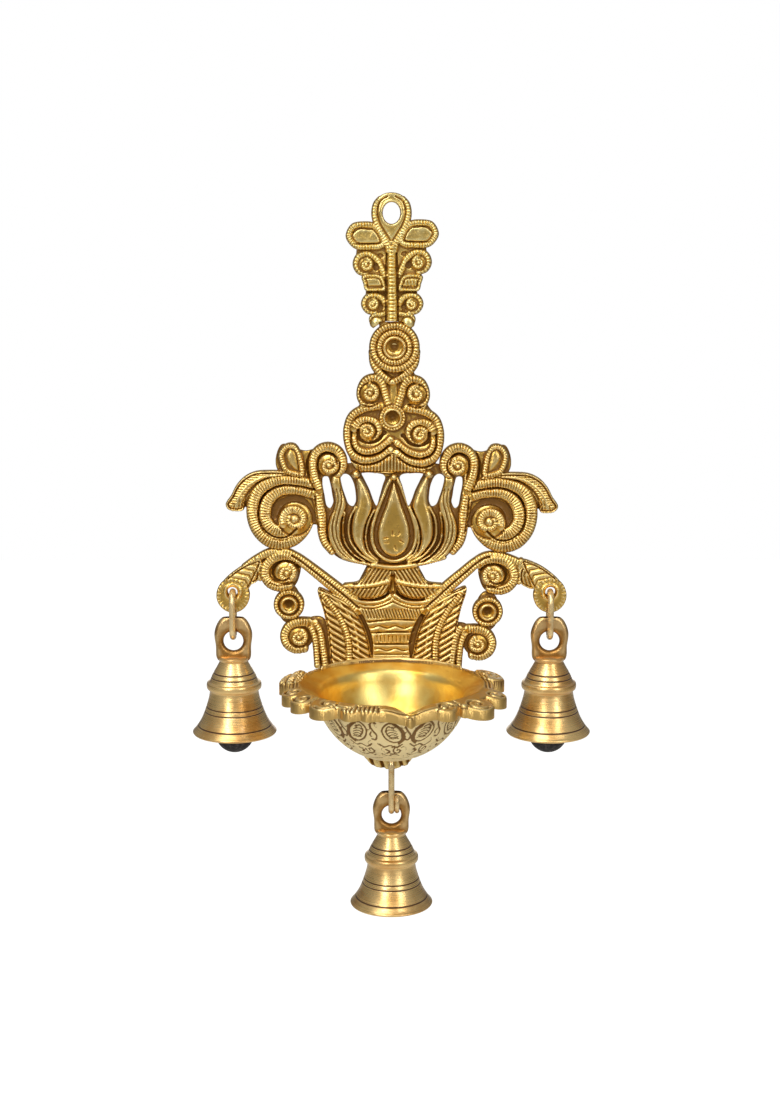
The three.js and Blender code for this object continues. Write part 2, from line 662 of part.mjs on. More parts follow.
// The three bells, by the hole that each link hangs from
const BELLS = [
  { name: "left", x: -SIDE_BELL_X, z: SIDE_HOLE_Z, link: SIDE_LINK, ball: SIDE_BALL,
    ballDrop: SIDE_BALL_DROP },
  { name: "right", x: SIDE_BELL_X, z: SIDE_HOLE_Z, link: SIDE_LINK, ball: SIDE_BALL,
    ballDrop: SIDE_BALL_DROP },
  { name: "bottom", x: 0, z: TAIL_HOLE_Z, link: TAIL_LINK, ball: TAIL_BALL,
    ballDrop: TAIL_BALL_DROP },
];
const iron = { color: 0x2b2b2d, roughness: 0.6, metalness: 0.8 };
for (const bell of BELLS) {
  const y = -LOBE_THICK / 2;
  const lugZ = bell.z - bell.link - HOLE_TO_WIRE;
  const pivot = lugZ + CROWN - STAPLE_DROP;
  place(`${bell.name}_link`, geometryOf(linkBody(bell.link)), brass, [bell.x, y, bell.z]);
  place(`${bell.name}_bell`, geometryOf(bellBody()), brass, [bell.x, y, lugZ]);
  const legs = [[-STAPLE_BEND, STAPLE_DROP], ...arc(0, STAPLE_BEND, STAPLE_BEND, 180, 360, 6),
    [STAPLE_BEND, STAPLE_DROP]];
  place(`${bell.name}_staple`, geometryOf(wire(legs, STAPLE_WIRE, false, 6)), iron,
    [bell.x, y, pivot], [0, 0, Math.PI / 2]);
  const eye = arc(0, -EYE_SAG, EYE_BEND, 0, 360, 10).slice(0, -1);
  const ballZ = lugZ + LUG_HOLE_DROP - bell.ballDrop - pivot;
  const rodTop = -EYE_SAG - EYE_BEND;
  const ballTop = ballZ + Math.sqrt(bell.ball ** 2 - BALL_FLAT ** 2);
  const rod = upright([[0, ballTop], [EYE_WIRE, ballTop], [EYE_WIRE, rodTop], [0, rodTop]], 8);
  place(`${bell.name}_clapper_rod`, geometryOf(wire(eye, EYE_WIRE, true, 6).add(rod)), iron,
    [bell.x, y, pivot]);
  const round = Array.from({ length: 8 }, (_, i) => {
    const angle = -Math.PI / 2 + ((Math.PI / 2 + Math.acos(BALL_FLAT / bell.ball)) * i) / 7;
    return [bell.ball * Math.cos(angle), ballZ + bell.ball * Math.sin(angle)];
  });
  round[0][0] = 0;
  place(`${bell.name}_clapper_ball`, geometryOf(upright([...round, [0, ballTop]], 14)), iron,
    [bell.x, y, pivot]);
}

export default group;
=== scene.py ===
"""Looks of a hanging wall diya: a cast brass panel with its finial, an oil bowl and three bells.

Reliefs are drawn in millimetres, x to the right and z up on the wall plane, with a height towards
the viewer. Meshes are in metres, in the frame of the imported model.
"""

import logging
import math
from dataclasses import dataclass, field, replace
from enum import Enum
from typing import TypeAlias

import bpy
import numpy as np
from mathutils import Matrix, Vector


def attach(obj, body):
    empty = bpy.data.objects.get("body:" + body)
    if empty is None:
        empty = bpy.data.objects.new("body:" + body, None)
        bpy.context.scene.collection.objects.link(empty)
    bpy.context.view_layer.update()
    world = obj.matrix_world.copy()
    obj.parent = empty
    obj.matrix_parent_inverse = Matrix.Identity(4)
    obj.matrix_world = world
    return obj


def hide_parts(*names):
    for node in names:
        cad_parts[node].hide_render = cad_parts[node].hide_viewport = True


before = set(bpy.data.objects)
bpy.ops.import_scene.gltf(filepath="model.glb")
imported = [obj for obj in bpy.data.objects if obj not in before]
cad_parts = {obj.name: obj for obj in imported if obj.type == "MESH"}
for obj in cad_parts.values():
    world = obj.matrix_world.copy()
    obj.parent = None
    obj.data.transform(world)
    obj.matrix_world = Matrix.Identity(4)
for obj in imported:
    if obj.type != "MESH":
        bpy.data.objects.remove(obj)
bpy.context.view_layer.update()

log = logging.getLogger("diya")

MM = 0.001

Point = tuple[float, float]
Place = tuple[float, float, float]
Outline = list[Point]
Colour = tuple[float, float, float]
Line = np.ndarray
Grid = np.ndarray
Faces = list[list[int]]
Piece = bpy.types.Object
Value: TypeAlias = "Node | float"

# Centres of the holes that the three links hang from.
LEFT_HOLE: Point = (-66.0, -155.5)
RIGHT_HOLE: Point = (66.0, -155.5)
TAIL_HOLE: Point = (0.0, -225.5)

# The finial's tongue, which lies in a pocket behind the panel's top with a gap all round.
TONGUE_HALF = 5.0
TONGUE_TOP = -44.0
TONGUE_FOOT = -53.0
TONGUE_THICK = 1.5
TONGUE_GAP = 0.3

# The angle between faces from which an edge of a casting stays sharp.
CAST_CREASE = 84

# Turns a relief's heights towards the viewer, who looks along y.
TOWARDS_VIEWER = (1, -1, 1)


class Hand(Enum):
    """Which half of the panel a form lies on; forms are drawn for the left."""

    LEFT = 1
    RIGHT = -1

    def of(self, points: Outline, shift: Point = (0.0, 0.0)) -> Outline:
        """The points on this hand, those of the right half moved by shift."""
        dx, dz = shift if self is Hand.RIGHT else (0.0, 0.0)
        return [(x * self.value + dx, z + dz) for x, z in points]


class Back(Enum):
    """How the back of a relief is closed."""

    FLAT = "flat"
    MIRRORED = "mirrored"


def rgb(code: str) -> Colour:
    """The linear colour of a six-figure hex code."""
    parts = [int(code[i:i + 2], 16) / 255 for i in (0, 2, 4)]
    return tuple(c / 12.92 if c < 0.04045 else ((c + 0.055) / 1.055) ** 2.4 for c in parts)


def blend(t: Grid, low: float, high: float, first: Grid, second: Grid) -> Grid:
    """Two values mixed by where t lies from low to high."""
    return ((high - t) * first + (t - low) * second) / (high - low)


def smooth(points: Outline, closed: bool = False, spacing: float = 0.5) -> Line:
    """A smooth line through a few points.

    Args:
        points: the points it passes through.
        closed: whether it returns to its first point.
        spacing: about how far apart its own points lie, in millimetres.

    Returns:
        The line as rows of x and z; a closed one repeats its first point at the end.
    """
    p = np.asarray(points, float)
    p = np.vstack([p[-1], p, p[:2]]) if closed else np.vstack([2 * p[0] - p[1], p, 2 * p[-1] - p[-2]])
    runs = []
    for p0, p1, p2, p3 in zip(p[:-3], p[1:-2], p[2:-1], p[3:]):
        steps = [0.0] + [np.linalg.norm(b - a) ** 0.5 for a, b in ((p0, p1), (p1, p2), (p2, p3))]
        t0, t1, t2, t3 = np.cumsum(steps)
        count = max(int(np.linalg.norm(p2 - p1) / spacing), 2)
        t = np.linspace(t1, t2, count, endpoint=False)[:, None]
        first, middle, last = blend(t, t0, t1, p0, p1), blend(t, t1, t2, p1, p2), blend(t, t2, t3, p2, p3)
        runs.append(blend(t, t1, t2, blend(t, t0, t2, first, middle), blend(t, t1, t3, middle, last)))
    return np.vstack(runs + [p[-2][None]])


def straight(points: Outline, closed: bool = False) -> Line:
    """A line with sharp corners through the points."""
    return np.asarray(points + points[:1] if closed else points, float)


def spiral(x: float, z: float, radii: Point, start: float, sweep: float) -> Line:
    """A line along a spiral.

    Args:
        x, z: its centre.
        radii: the radius it starts and ends with.
        start: the angle it starts at, in degrees from x towards z.
        sweep: how far it turns, in degrees.

    Returns:
        Rows of x and z, one for every ten degrees or so.
    """
    count = max(int(abs(sweep) / 10), 4)
    angles = np.radians(np.linspace(start, start + sweep, count))
    radius = np.linspace(radii[0], radii[1], count)
    return np.stack([x + radius * np.cos(angles), z + radius * np.sin(angles)], 1)


def oval(x: float, z: float, across: float, up: float, count: int = 48) -> Line:
    """A closed ellipse about a centre."""
    angles = np.linspace(0, 2 * math.pi, count + 1)
    return np.stack([x + across * np.cos(angles), z + up * np.sin(angles)], 1)


def circle(x: float, z: float, radius: float) -> Line:
    """A closed circle about a centre."""
    return oval(x, z, radius, radius)


def box(left: float, right: float, low: float, high: float) -> Line:
    """A closed rectangle between its sides."""
    return straight([(left, high), (right, high), (right, low), (left, low)], True)


def blurred(values: Grid, mask: Grid, sigma: float) -> Grid:
    """Values averaged with their neighbours inside a mask.

    Args:
        values: a grid of numbers.
        mask: 1 where the numbers count, and 0 elsewhere.
        sigma: the spread in cells.

    Returns:
        The averaged grid.
    """
    reach = max(int(3 * sigma), 1)
    kernel = np.exp(-0.5 * (np.arange(-reach, reach + 1) / sigma) ** 2)

    def run(grid: Grid) -> Grid:
        """The grid spread along both of its axes."""
        for axis in (0, 1):
            padded = np.pad(grid, [(reach, reach) if i == axis else (0, 0) for i in (0, 1)])
            size = grid.shape[axis]
            grid = sum(k * padded.take(range(i, i + size), axis) for i, k in enumerate(kernel))
        return grid

    return run(values * mask) / np.maximum(run(mask.astype(float)), 1e-9)


@dataclass(frozen=True)
class Rope:
    """A band struck across with small round ribs.

    Attributes:
        height: its crest over the wall plane.
        floor: the height of its two sides.
        pitch: from one rib to the next.
        depth: how deep the grooves between ribs are.
    """

    height: float = 4.2
    floor: float = 2.5
    pitch: float = 1.25
    depth: float = 0.5

    def crest(self, across: Grid, along: Grid) -> Grid:
        """The height over a band.

        Args:
            across: from -1 to 1 across the band.
            along: millimetres along it.

        Returns:
            Heights over the wall plane.
        """
        u = np.clip(np.abs(across), 0, 1)
        arch = np.sqrt(1 - u ** 3)
        rib = np.abs(np.sin(math.pi * (along / self.pitch))) ** 0.7
        return self.floor + (self.height - self.floor) * arch - self.depth * (1 - rib) * (1 - u ** 6)


@dataclass(frozen=True)
class Veins:
    """Slanted ribs over a leaf.

    Attributes:
        foot, tip: the ends of the leaf's middle line.
        pitch: from one rib to the next.
        depth: how high the ribs stand.
        lean: how far they sweep along that line for each millimetre away from it.
        folded: whether the ribs turn back at the line, or run straight across it.
    """

    foot: Point
    tip: Point
    pitch: float
    depth: float
    lean: float
    folded: bool = True

    def over(self, x: Grid, z: Grid) -> Grid:
        """The ribs' height at each place.

        Args:
            x, z: the places.

        Returns:
            Heights over the leaf.
        """
        run = np.subtract(self.tip, self.foot)
        run = run / np.linalg.norm(run)
        along = (x - self.foot[0]) * run[0] + (z - self.foot[1]) * run[1]
        off = (x - self.foot[0]) * run[1] - (z - self.foot[1]) * run[0]
        off = np.abs(off) if self.folded else off * np.sign(run[0])
        return self.depth * np.abs(np.sin(math.pi * (along - self.lean * off) / self.pitch)) ** 0.7


@dataclass
class Reach:
    """Distances from a line, over a window of a canvas.

    Attributes:
        rows, cols: the window.
        gap: how far each cell is from the line.
        along: how far along the line its nearest point is.
        side: the side of the line that it is on, 1 or -1.
        total: the line's length.
    """

    rows: slice
    cols: slice
    gap: Grid
    along: Grid
    side: Grid
    total: float


@dataclass
class Canvas:
    """A relief drawn as heights over a grid.

    Attributes:
        left, right, low, high: its sides.
        step: the side of a cell.
        bright: the height above which the metal is rubbed bright.
        thinnest: the least thickness of a flat-backed relief.
        soften: how far details are blurred by casting and polishing.
        xs, zs: the places of its columns and rows.
        top: the height of each cell.
        edge: how far each cell is inside the outline.
        under: how deep the flat back is hollowed at each cell.
        stain: what each cell's patina gains over what its depth gives it; in the volute's crescent this is
            also painted shade.
    """

    left: float
    right: float
    low: float
    high: float
    step: float = 0.27
    bright: float = 2.9
    thinnest: float = 0.3
    soften: float = 0.13
    xs: Grid = field(init=False)
    zs: Grid = field(init=False)
    top: Grid = field(init=False)
    edge: Grid = field(init=False)
    under: Grid = field(init=False)
    stain: Grid = field(init=False)

    def __post_init__(self) -> None:
        """Lays out the empty grid."""
        self.xs = np.arange(self.left, self.right + self.step, self.step)
        self.zs = np.arange(self.low, self.high + self.step, self.step)
        self.top = np.zeros((len(self.zs), len(self.xs)))
        self.edge = np.full(self.top.shape, -9.0)
        self.under = np.zeros(self.top.shape)
        self.stain = np.zeros(self.top.shape)

    def window(self, low: Grid, high: Grid) -> tuple[slice, slice]:
        """The rows and columns that hold a box.

        Args:
            low, high: its lowest and highest x and z.

        Returns:
            A slice of rows and one of columns.
        """
        c0, r0 = ((low - (self.left, self.low)) / self.step).astype(int)
        c1, r1 = ((high - (self.left, self.low)) / self.step).astype(int) + 2
        rows = slice(min(max(r0, 0), len(self.zs)), min(max(r1, 0), len(self.zs)))
        return rows, slice(min(max(c0, 0), len(self.xs)), min(max(c1, 0), len(self.xs)))

    def near(self, line: Line, reach: float) -> Reach:
        """Measures the grid from a line.

        Args:
            line: rows of x and z.
            reach: the furthest distance that matters.

        Returns:
            The distances, the length along the line and the side of it, in a window round it.
        """
        rows, cols = self.window(line.min(0) - reach, line.max(0) + reach)
        shape = (rows.stop - rows.start, cols.stop - cols.start)
        gap, along, side = np.full(shape, reach), np.zeros(shape), np.ones(shape)
        start = 0.0
        for a, b in zip(line[:-1], line[1:]):
            run = b - a
            length = math.hypot(*run)
            if length < 1e-9:
                continue
            r, c = self.window(np.minimum(a, b) - reach, np.maximum(a, b) + reach)
            x = self.xs[c][None, :] - a[0]
            z = self.zs[r][:, None] - a[1]
            t = np.clip((x * run[0] + z * run[1]) / length ** 2, 0, 1)
            dx, dz = x - t * run[0], z - t * run[1]
            here = np.hypot(dx, dz)
            part = (slice(r.start - rows.start, r.stop - rows.start),
                    slice(c.start - cols.start, c.stop - cols.start))
            nearer = here < gap[part]
            gap[part] = np.where(nearer, here, gap[part])
            along[part] = np.where(nearer, start + t * length, along[part])
            side[part] = np.where(nearer, np.sign(dx * run[1] - dz * run[0]), side[part])
            start += length
        return Reach(rows, cols, gap, along, side, start)

    def filled(self, line: Line, r: Reach) -> Grid:
        """Whether each cell of a window lies inside a closed line.

        Args:
            line: the closed line.
            r: the window.

        Returns:
            A grid of truths.
        """
        xs, zs = self.xs[r.cols], self.zs[r.rows]
        inside = np.zeros((len(zs), len(xs)), bool)
        for (ax, az), (bx, bz) in zip(line[:-1], line[1:]):
            if az == bz:
                continue
            rows = (zs >= min(az, bz)) & (zs < max(az, bz))
            cross = ax + (zs[rows] - az) * (bx - ax) / (bz - az)
            inside[rows] ^= xs[None, :] < cross[:, None]
        return inside

    def inside(self, line: Line, reach: float) -> tuple[Reach, Grid]:
        """The window near a closed line, and how far inside it each cell is, or below 0."""
        r = self.near(line, reach)
        return r, np.where(self.filled(line, r), r.gap, -r.gap)

    def offsets(self, r: Reach, x: float = 0.0, z: float = 0.0) -> tuple[Grid, Grid]:
        """How far across and how far up the cells of a window lie from a place."""
        return self.xs[r.cols][None, :] - x, self.zs[r.rows][:, None] - z

    def lay(self, r: Reach, inside: Grid, height: Grid, sink: bool = False) -> None:
        """Puts a form on the relief.

        Args:
            r: the window.
            inside: how far each cell is inside the form.
            height: the form's own height.
            sink: whether the form also lowers what it covers.
        """
        top, edge = self.top[r.rows, r.cols], self.edge[r.rows, r.cols]
        here = inside > 0
        top[here] = height[here] if sink else np.maximum(top[here], height[here])
        np.maximum(edge, inside, out=edge)

    def plate(self, line: Line, height: float, round_off: float = 0.5, sink: bool = False) -> None:
        """A flat form inside a closed line.

        Args:
            line: its outline.
            height: its height over the wall plane.
            round_off: the radius that rounds off its edge.
            sink: whether it also lowers what it covers.
        """
        r, inside = self.inside(line, 3.0)
        fall = np.clip(1 - inside / round_off, 0, 1)
        self.lay(r, inside, height - round_off * (1 - np.sqrt(1 - fall ** 2)), sink)

    def petal(self, line: Line, height: float, crown: float, reach: float) -> None:
        """A smooth form that swells from its edge.

        Args:
            line: its closed outline.
            height: the height of its middle.
            crown: how far the middle stands over the edge.
            reach: how far inside the edge it stops rising.
        """
        r, inside = self.inside(line, reach)
        swell = np.sqrt(np.clip(1 - (1 - np.clip(inside / reach, 0, 1)) ** 2, 0, 1))
        self.lay(r, inside, height - crown + crown * swell, True)

    def rope(self, line: Line, widths: Point, style: Rope, cover: bool = False) -> None:
        """A band along a line.

        Args:
            line: rows of x and z.
            widths: the band's width at the start and at the end.
            style: how it is struck.
            cover: whether it hides what it crosses.
        """
        r = self.near(line, max(widths) / 2 + 1.0)
        half = (widths[0] + (widths[1] - widths[0]) * r.along / r.total) / 2
        inside = half - r.gap
        across = np.clip(r.gap / half, 0, 1) * r.side
        self.lay(r, inside, style.crest(across, r.along), cover)

    def leaf(self, line: Line, border: float, style: Rope, sunk: float,
             veins: Veins | None = None) -> None:
        """A leaf: a struck border round a sunken middle.

        Args:
            line: its closed outline.
            border: the width of the border.
            style: how the border is struck.
            sunk: the height of the middle.
            veins: ribs on the middle.
        """
        r, inside = self.inside(line, 9.0)
        across = np.clip(inside / border * 2 - 1, -1, 1)
        rim = style.crest(across, r.along)
        middle = np.full(inside.shape, sunk)
        if veins:
            middle = middle + veins.over(*self.offsets(r))
        share = np.clip((inside - border) / 0.5, 0, 1)
        within = style.floor * (1 - share) + middle * share
        self.lay(r, inside, np.where(inside < border, rim, within), True)

    def ball(self, x: float, z: float, radius: float, height: float, base: float = 2.0) -> None:
        """A round boss.

        Args:
            x, z: its centre.
            radius: its radius.
            height: the height of its crest.
            base: the height of its foot.
        """
        r = self.near(circle(x, z, radius), radius)
        out = np.hypot(*self.offsets(r, x, z))
        arch = np.sqrt(np.clip(1 - (out / radius) ** 2, 0, 1))
        self.lay(r, radius - out, base + (height - base) * arch, True)

    def groove(self, line: Line, width: float, depth: float) -> None:
        """A round-bottomed cut along a line.

        Args:
            line: rows of x and z.
            width: how wide the cut is at the surface.
            depth: how deep it is in its middle.
        """
        r = self.near(line, width)
        cut = np.clip(1 - (r.gap / (width / 2)) ** 2, 0, 1)
        self.top[r.rows, r.cols] -= depth * cut

    def pierce(self, line: Line) -> None:
        """A hole right through, inside a closed line."""
        r, inside = self.inside(line, 3.0)
        edge = self.edge[r.rows, r.cols]
        np.minimum(edge, -inside, out=edge)

    def fill(self, grid: Grid, line: Line, value: float) -> None:
        """Gives one of the canvas's grids a value inside a closed line."""
        r = self.near(line, 1.0)
        grid[r.rows, r.cols][self.filled(line, r)] = value

    def countersink(self, x: float, z: float, radius: float, land: float) -> None:
        """A conical pocket in the flat back for a screw's head.

        Args:
            x, z: its centre.
            radius: its radius at the back.
            land: how deep its straight edge is.
        """
        r = self.near(circle(x, z, radius), 1.0)
        out = np.hypot(*self.offsets(r, x, z))
        self.under[r.rows, r.cols] += np.where(out < radius, land + radius - out, 0)

    def blotches(self, seed: int, reach: float) -> Grid:
        """Seeded unevenness over the grid, with a spread of one.

        Args:
            seed: its seed.
            reach: how far a blotch reaches, in millimetres.

        Returns:
            A number for each cell.
        """
        noise = np.random.default_rng(seed).normal(size=self.top.shape)
        patch = blurred(noise, np.ones_like(noise), reach / self.step)
        return patch / patch.std()

    def weathered(self, seed: int, wear: float) -> None:
        """Softens the relief as a casting and a polishing wheel do.

        Args:
            seed: the seed of its small unevenness.
            wear: how uneven it is, in millimetres.
        """
        mask = self.edge > 0
        for reach, share in ((2.2, 0.6), (0.7, 0.4)):
            self.top += wear * share * self.blotches(seed, reach)
        self.top = np.where(mask, blurred(self.top, mask, self.soften / self.step), 0)

    def hollows(self) -> Grid:
        """How deep each cell lies below its surroundings.

        Returns:
            From 0 on a crest to 1 in a groove, and a value between them off the relief.
        """
        mask = self.edge > 0
        depth = 0.22 + np.clip(self.bright - self.top, 0, 3) * 0.08 + self.stain
        for reach, weight in ((0.5, 1.9), (1.8, 0.34)):
            depth += (blurred(self.top, mask, reach / self.step) - self.top) * weight
        return np.where(mask, np.clip(depth, 0, 1), 0.36)

    def sample(self, values: Grid, x: Grid, z: Grid) -> Grid:
        """Values read between the cells of the grid.

        Args:
            values: one number for each cell.
            x, z: the places.

        Returns:
            One number for each place.
        """
        c = np.clip((x - self.left) / self.step, 0, len(self.xs) - 1.001)
        r = np.clip((z - self.low) / self.step, 0, len(self.zs) - 1.001)
        ci, ri = c.astype(int), r.astype(int)
        c, r = c - ci, r - ri
        upper = values[ri + 1, ci] * (1 - c) + values[ri + 1, ci + 1] * c
        return (values[ri, ci] * (1 - c) + values[ri, ci + 1] * c) * (1 - r) + upper * r

    def surface(self, back: Back = Back.FLAT, bevel: float = 0.6) -> tuple[Grid, Faces]:
        """The relief as a closed surface.

        Args:
            back: how it is closed behind.
            bevel: the radius of its outer edge.

        Returns:
            Corners as rows of x, height and z, and faces as lists of corner numbers.
        """
        flat = back is Back.FLAT
        edge = np.where(np.abs(self.edge) < 0.02, np.where(self.edge > 0, 0.02, -0.02), self.edge)
        live = edge > 0
        fall = np.clip(1 - edge / bevel, 0, 1)
        least = self.thinnest if flat else 0.0
        top = np.maximum(self.top - bevel * (1 - np.sqrt(1 - fall ** 2)), least) * live
        number = np.full(live.shape, -1)
        number[live] = np.arange(live.sum())
        zi, xi = np.nonzero(live)
        corners = [np.stack([self.xs[xi], top[live], self.zs[zi]], 1)]
        count = len(zi)
        crossing = {}
        for key, (dr, dc) in {"across": (0, 1), "up": (1, 0)}.items():
            rows, cols = live.shape[0] - dr, live.shape[1] - dc
            a, b = live[:rows, :cols], live[dr:, dc:]
            r, c = np.nonzero(a != b)
            ea, eb = edge[r, c], edge[r + dr, c + dc]
            share = ea / (ea - eb)
            height = np.where(a[r, c], top[r, c], top[r + dr, c + dc])
            height = np.maximum(height - 0.25 * bevel, least) if flat else height * 0
            ids = np.full(live.shape, -1)
            ids[r, c] = count + np.arange(len(r))
            crossing[key] = ids
            corners.append(np.stack([self.xs[c] + share * dc * self.step, height,
                                     self.zs[r] + share * dr * self.step], 1))
            count += len(r)
        corners = np.vstack(corners)
        faces = self._cells(live, number, crossing)
        within = len(zi)
        if flat:
            behind = corners * (1, 0, 1)
            behind[:within, 1] = self.under[live]
            walls = [[p, q, q + count, p + count] for f in faces for q, p in zip(f, f[1:] + f[:1])
                     if p >= within and q >= within]
            faces += [[i + count for i in reversed(f)] for f in faces] + walls
        else:
            behind = corners[:within] * (1, -1, 1)
            faces += [[i + count if i < within else i for i in reversed(f)] for f in faces]
        return np.vstack([corners, behind]), faces

    @staticmethod
    def _cells(live: Grid, number: Grid, crossing: dict[str, Grid]) -> Faces:
        """The faces of every cell.

        Args:
            live: whether each grid point is inside the outline.
            number: the corner number of each grid point inside.
            crossing: the corner numbers where the outline crosses the grid, across and up.

        Returns:
            Lists of corner numbers.
        """
        across, up = crossing["across"], crossing["up"]
        case = live[:-1, :-1] + 2 * live[:-1, 1:] + 4 * live[1:, 1:] + 8 * live[1:, :-1]
        faces = []
        for code in range(1, 16):
            r, c = np.nonzero(case == code)
            corner = [number[r, c], number[r, c + 1], number[r + 1, c + 1], number[r + 1, c]]
            mid = [across[r, c], up[r, c + 1], across[r + 1, c], up[r, c]]
            ring = []
            for k in range(4):
                if code >> k & 1:
                    ring.append(corner[k])
                if (code >> k & 1) != (code >> (k + 1) % 4 & 1):
                    ring.append(mid[k])
            if code == 5:
                ring = ring[-1:] + ring[:-1]
            parts = [ring[:3], ring[3:]] if code in (5, 10) else [ring]
            for part in parts:
                faces += np.stack(part, 1).tolist()
        return faces


def make_mesh(name: str, corners: Grid, faces: Faces, smooth_shaded: bool = True) -> Piece:
    """A mesh object in metres from corners in millimetres.

    Args:
        name: the object's name.
        corners: rows of x, y and z.
        faces: lists of corner numbers.
        smooth_shaded: whether its faces shade into each other.

    Returns:
        The object, linked to the scene.
    """
    mesh = bpy.data.meshes.new(name)
    mesh.from_pydata((corners * MM).tolist(), [], faces)
    mesh.validate()
    mesh.polygons.foreach_set("use_smooth", [smooth_shaded] * len(mesh.polygons))
    made = bpy.data.objects.new(name, mesh)
    bpy.context.scene.collection.objects.link(made)
    return made


def apply_modifier(obj: Piece, kind: str, **settings: object) -> None:
    """Adds a modifier and applies it.

    Args:
        obj: the object it changes.
        kind: the modifier's type.
        settings: its own properties.
    """
    modifier = obj.modifiers.new(kind.title(), kind)
    for key, value in settings.items():
        setattr(modifier, key, value)
    bpy.context.view_layer.update()
    graph = bpy.context.evaluated_depsgraph_get()
    mesh = bpy.data.meshes.new_from_object(obj.evaluated_get(graph))
    obj.modifiers.clear()
    obj.data = mesh


def places(obj: Piece) -> Grid:
    """The corners of a piece's mesh, as rows of x, y and z in millimetres."""
    flat = np.zeros(len(obj.data.vertices) * 3, np.float32)
    obj.data.vertices.foreach_get("co", flat)
    return flat.reshape(-1, 3).astype(float) / MM


def paint(obj: Piece, name: str, values: Grid) -> None:
    """Stores one number for each corner of a mesh, for its material to read."""
    layer = obj.data.attributes.get(name) or obj.data.attributes.new(name, "FLOAT", "POINT")
    layer.data.foreach_set("value", np.asarray(values, np.float32))


def creased(obj: Piece, degrees: float) -> None:
    """Keeps edges sharper than an angle from being shaded smooth."""
    obj.data.set_sharp_from_angle(angle=math.radians(degrees))


def flat_back(obj: Piece) -> None:
    """Shades a piece's faces that lie against the wall as flat."""
    mesh = obj.data
    normals = np.empty(len(mesh.polygons) * 3, np.float32)
    mesh.polygons.foreach_get("normal", normals)
    mesh.polygons.foreach_set("use_smooth", normals.reshape(-1, 3)[:, 1] < 0.99)


class Node:
    """A socket of a node tree, with arithmetic on it."""

    def __init__(self, tree: bpy.types.NodeTree, socket: bpy.types.NodeSocket) -> None:
        """Wraps a socket of a tree."""
        self.tree = tree
        self.socket = socket

    def _maths(self, kind: str, *values: Value) -> "Node":
        """A Math node on this and other values."""
        return Palette(self.tree).add("ShaderNodeMath", {"operation": kind}, dict(enumerate(values)))

    def __add__(self, other: Value) -> "Node":
        """This plus another value."""
        return self._maths("ADD", self, other)

    __radd__ = __add__

    def __sub__(self, other: Value) -> "Node":
        """This less another value."""
        return self._maths("SUBTRACT", self, other)

    def __rsub__(self, other: float) -> "Node":
        """A number less this."""
        return self._maths("SUBTRACT", other, self)

    def __mul__(self, other: Value) -> "Node":
        """This times another value."""
        return self._maths("MULTIPLY", self, other)

    __rmul__ = __mul__

    def also(self, name: str) -> "Node":
        """Another output of the same node."""
        return Node(self.tree, self.socket.node.outputs[name])

    def clipped(self) -> "Node":
        """This kept between 0 and 1."""
        return self._maths("MINIMUM", self._maths("MAXIMUM", self, 0.0), 1.0)

    def between(self, low: float, high: float) -> "Node":
        """A smooth step from 0 at low to 1 at high."""
        return Palette(self.tree).add("ShaderNodeMapRange", {"interpolation_type": "SMOOTHSTEP"},
                                      {"Value": self, "From Min": low, "From Max": high})


@dataclass
class Palette:
    """Adds nodes to one tree."""

    tree: bpy.types.NodeTree

    @classmethod
    def cleared(cls, owner: bpy.types.Material | bpy.types.World) -> "Palette":
        """A palette for the emptied tree of a material or of the world."""
        owner.use_nodes = True
        owner.node_tree.nodes.clear()
        return cls(owner.node_tree)

    def put(self, kind: str, settings: dict | None = None, sockets: dict | None = None) -> bpy.types.Node:
        """A new node.

        Args:
            kind: the node's type.
            settings: its own properties.
            sockets: a value or a link for each input, by name or number.

        Returns:
            The node.
        """
        node = self.tree.nodes.new(kind)
        for key, value in (settings or {}).items():
            setattr(node, key, value)
        for key, value in (sockets or {}).items():
            socket = node.inputs[key]
            if isinstance(value, Node):
                self.tree.links.new(value.socket, socket)
            elif isinstance(value, tuple) and len(value) == 3 and socket.type == "RGBA":
                socket.default_value = (*value, 1)
            else:
                socket.default_value = value
        return node

    def add(self, kind: str, settings: dict | None = None, sockets: dict | None = None,
            out: int | str = 0) -> Node:
        """The output of a new node, by name or number."""
        return Node(self.tree, self.put(kind, settings, sockets).outputs[out])

    def place(self) -> Node:
        """Where a point lies on the object."""
        return self.add("ShaderNodeTexCoord", out="Object")

    def read(self, name: str) -> Node:
        """A number stored on the mesh."""
        return self.add("ShaderNodeAttribute", {"attribute_name": name}, out="Fac")

    def noise(self, scale: float, detail: float = 3.0) -> Node:
        """Cloudy noise from 0 to 1."""
        return self.add("ShaderNodeTexNoise", {}, {
            "Vector": self.place(), "Scale": scale, "Detail": detail, "Roughness": 0.55})

    def mix(self, share: Value, first: Node | Colour, second: Node | Colour) -> Node:
        """A colour between two others, by the numbers of the node's colour sockets."""
        return self.add("ShaderNodeMix", {"data_type": "RGBA"}, {0: share, 6: first, 7: second}, 2)

    def bump(self, height: Node, distance: float) -> Node:
        """A normal from a height."""
        return self.add("ShaderNodeBump", {}, {"Height": height, "Distance": distance}, "Normal")

    def finish(self, shader: Node, kind: str = "ShaderNodeOutputMaterial") -> None:
        """Joins a shader to a new output node."""
        self.put(kind, {}, {"Surface": shader})


Looks = dict[str, Node | Colour | float]


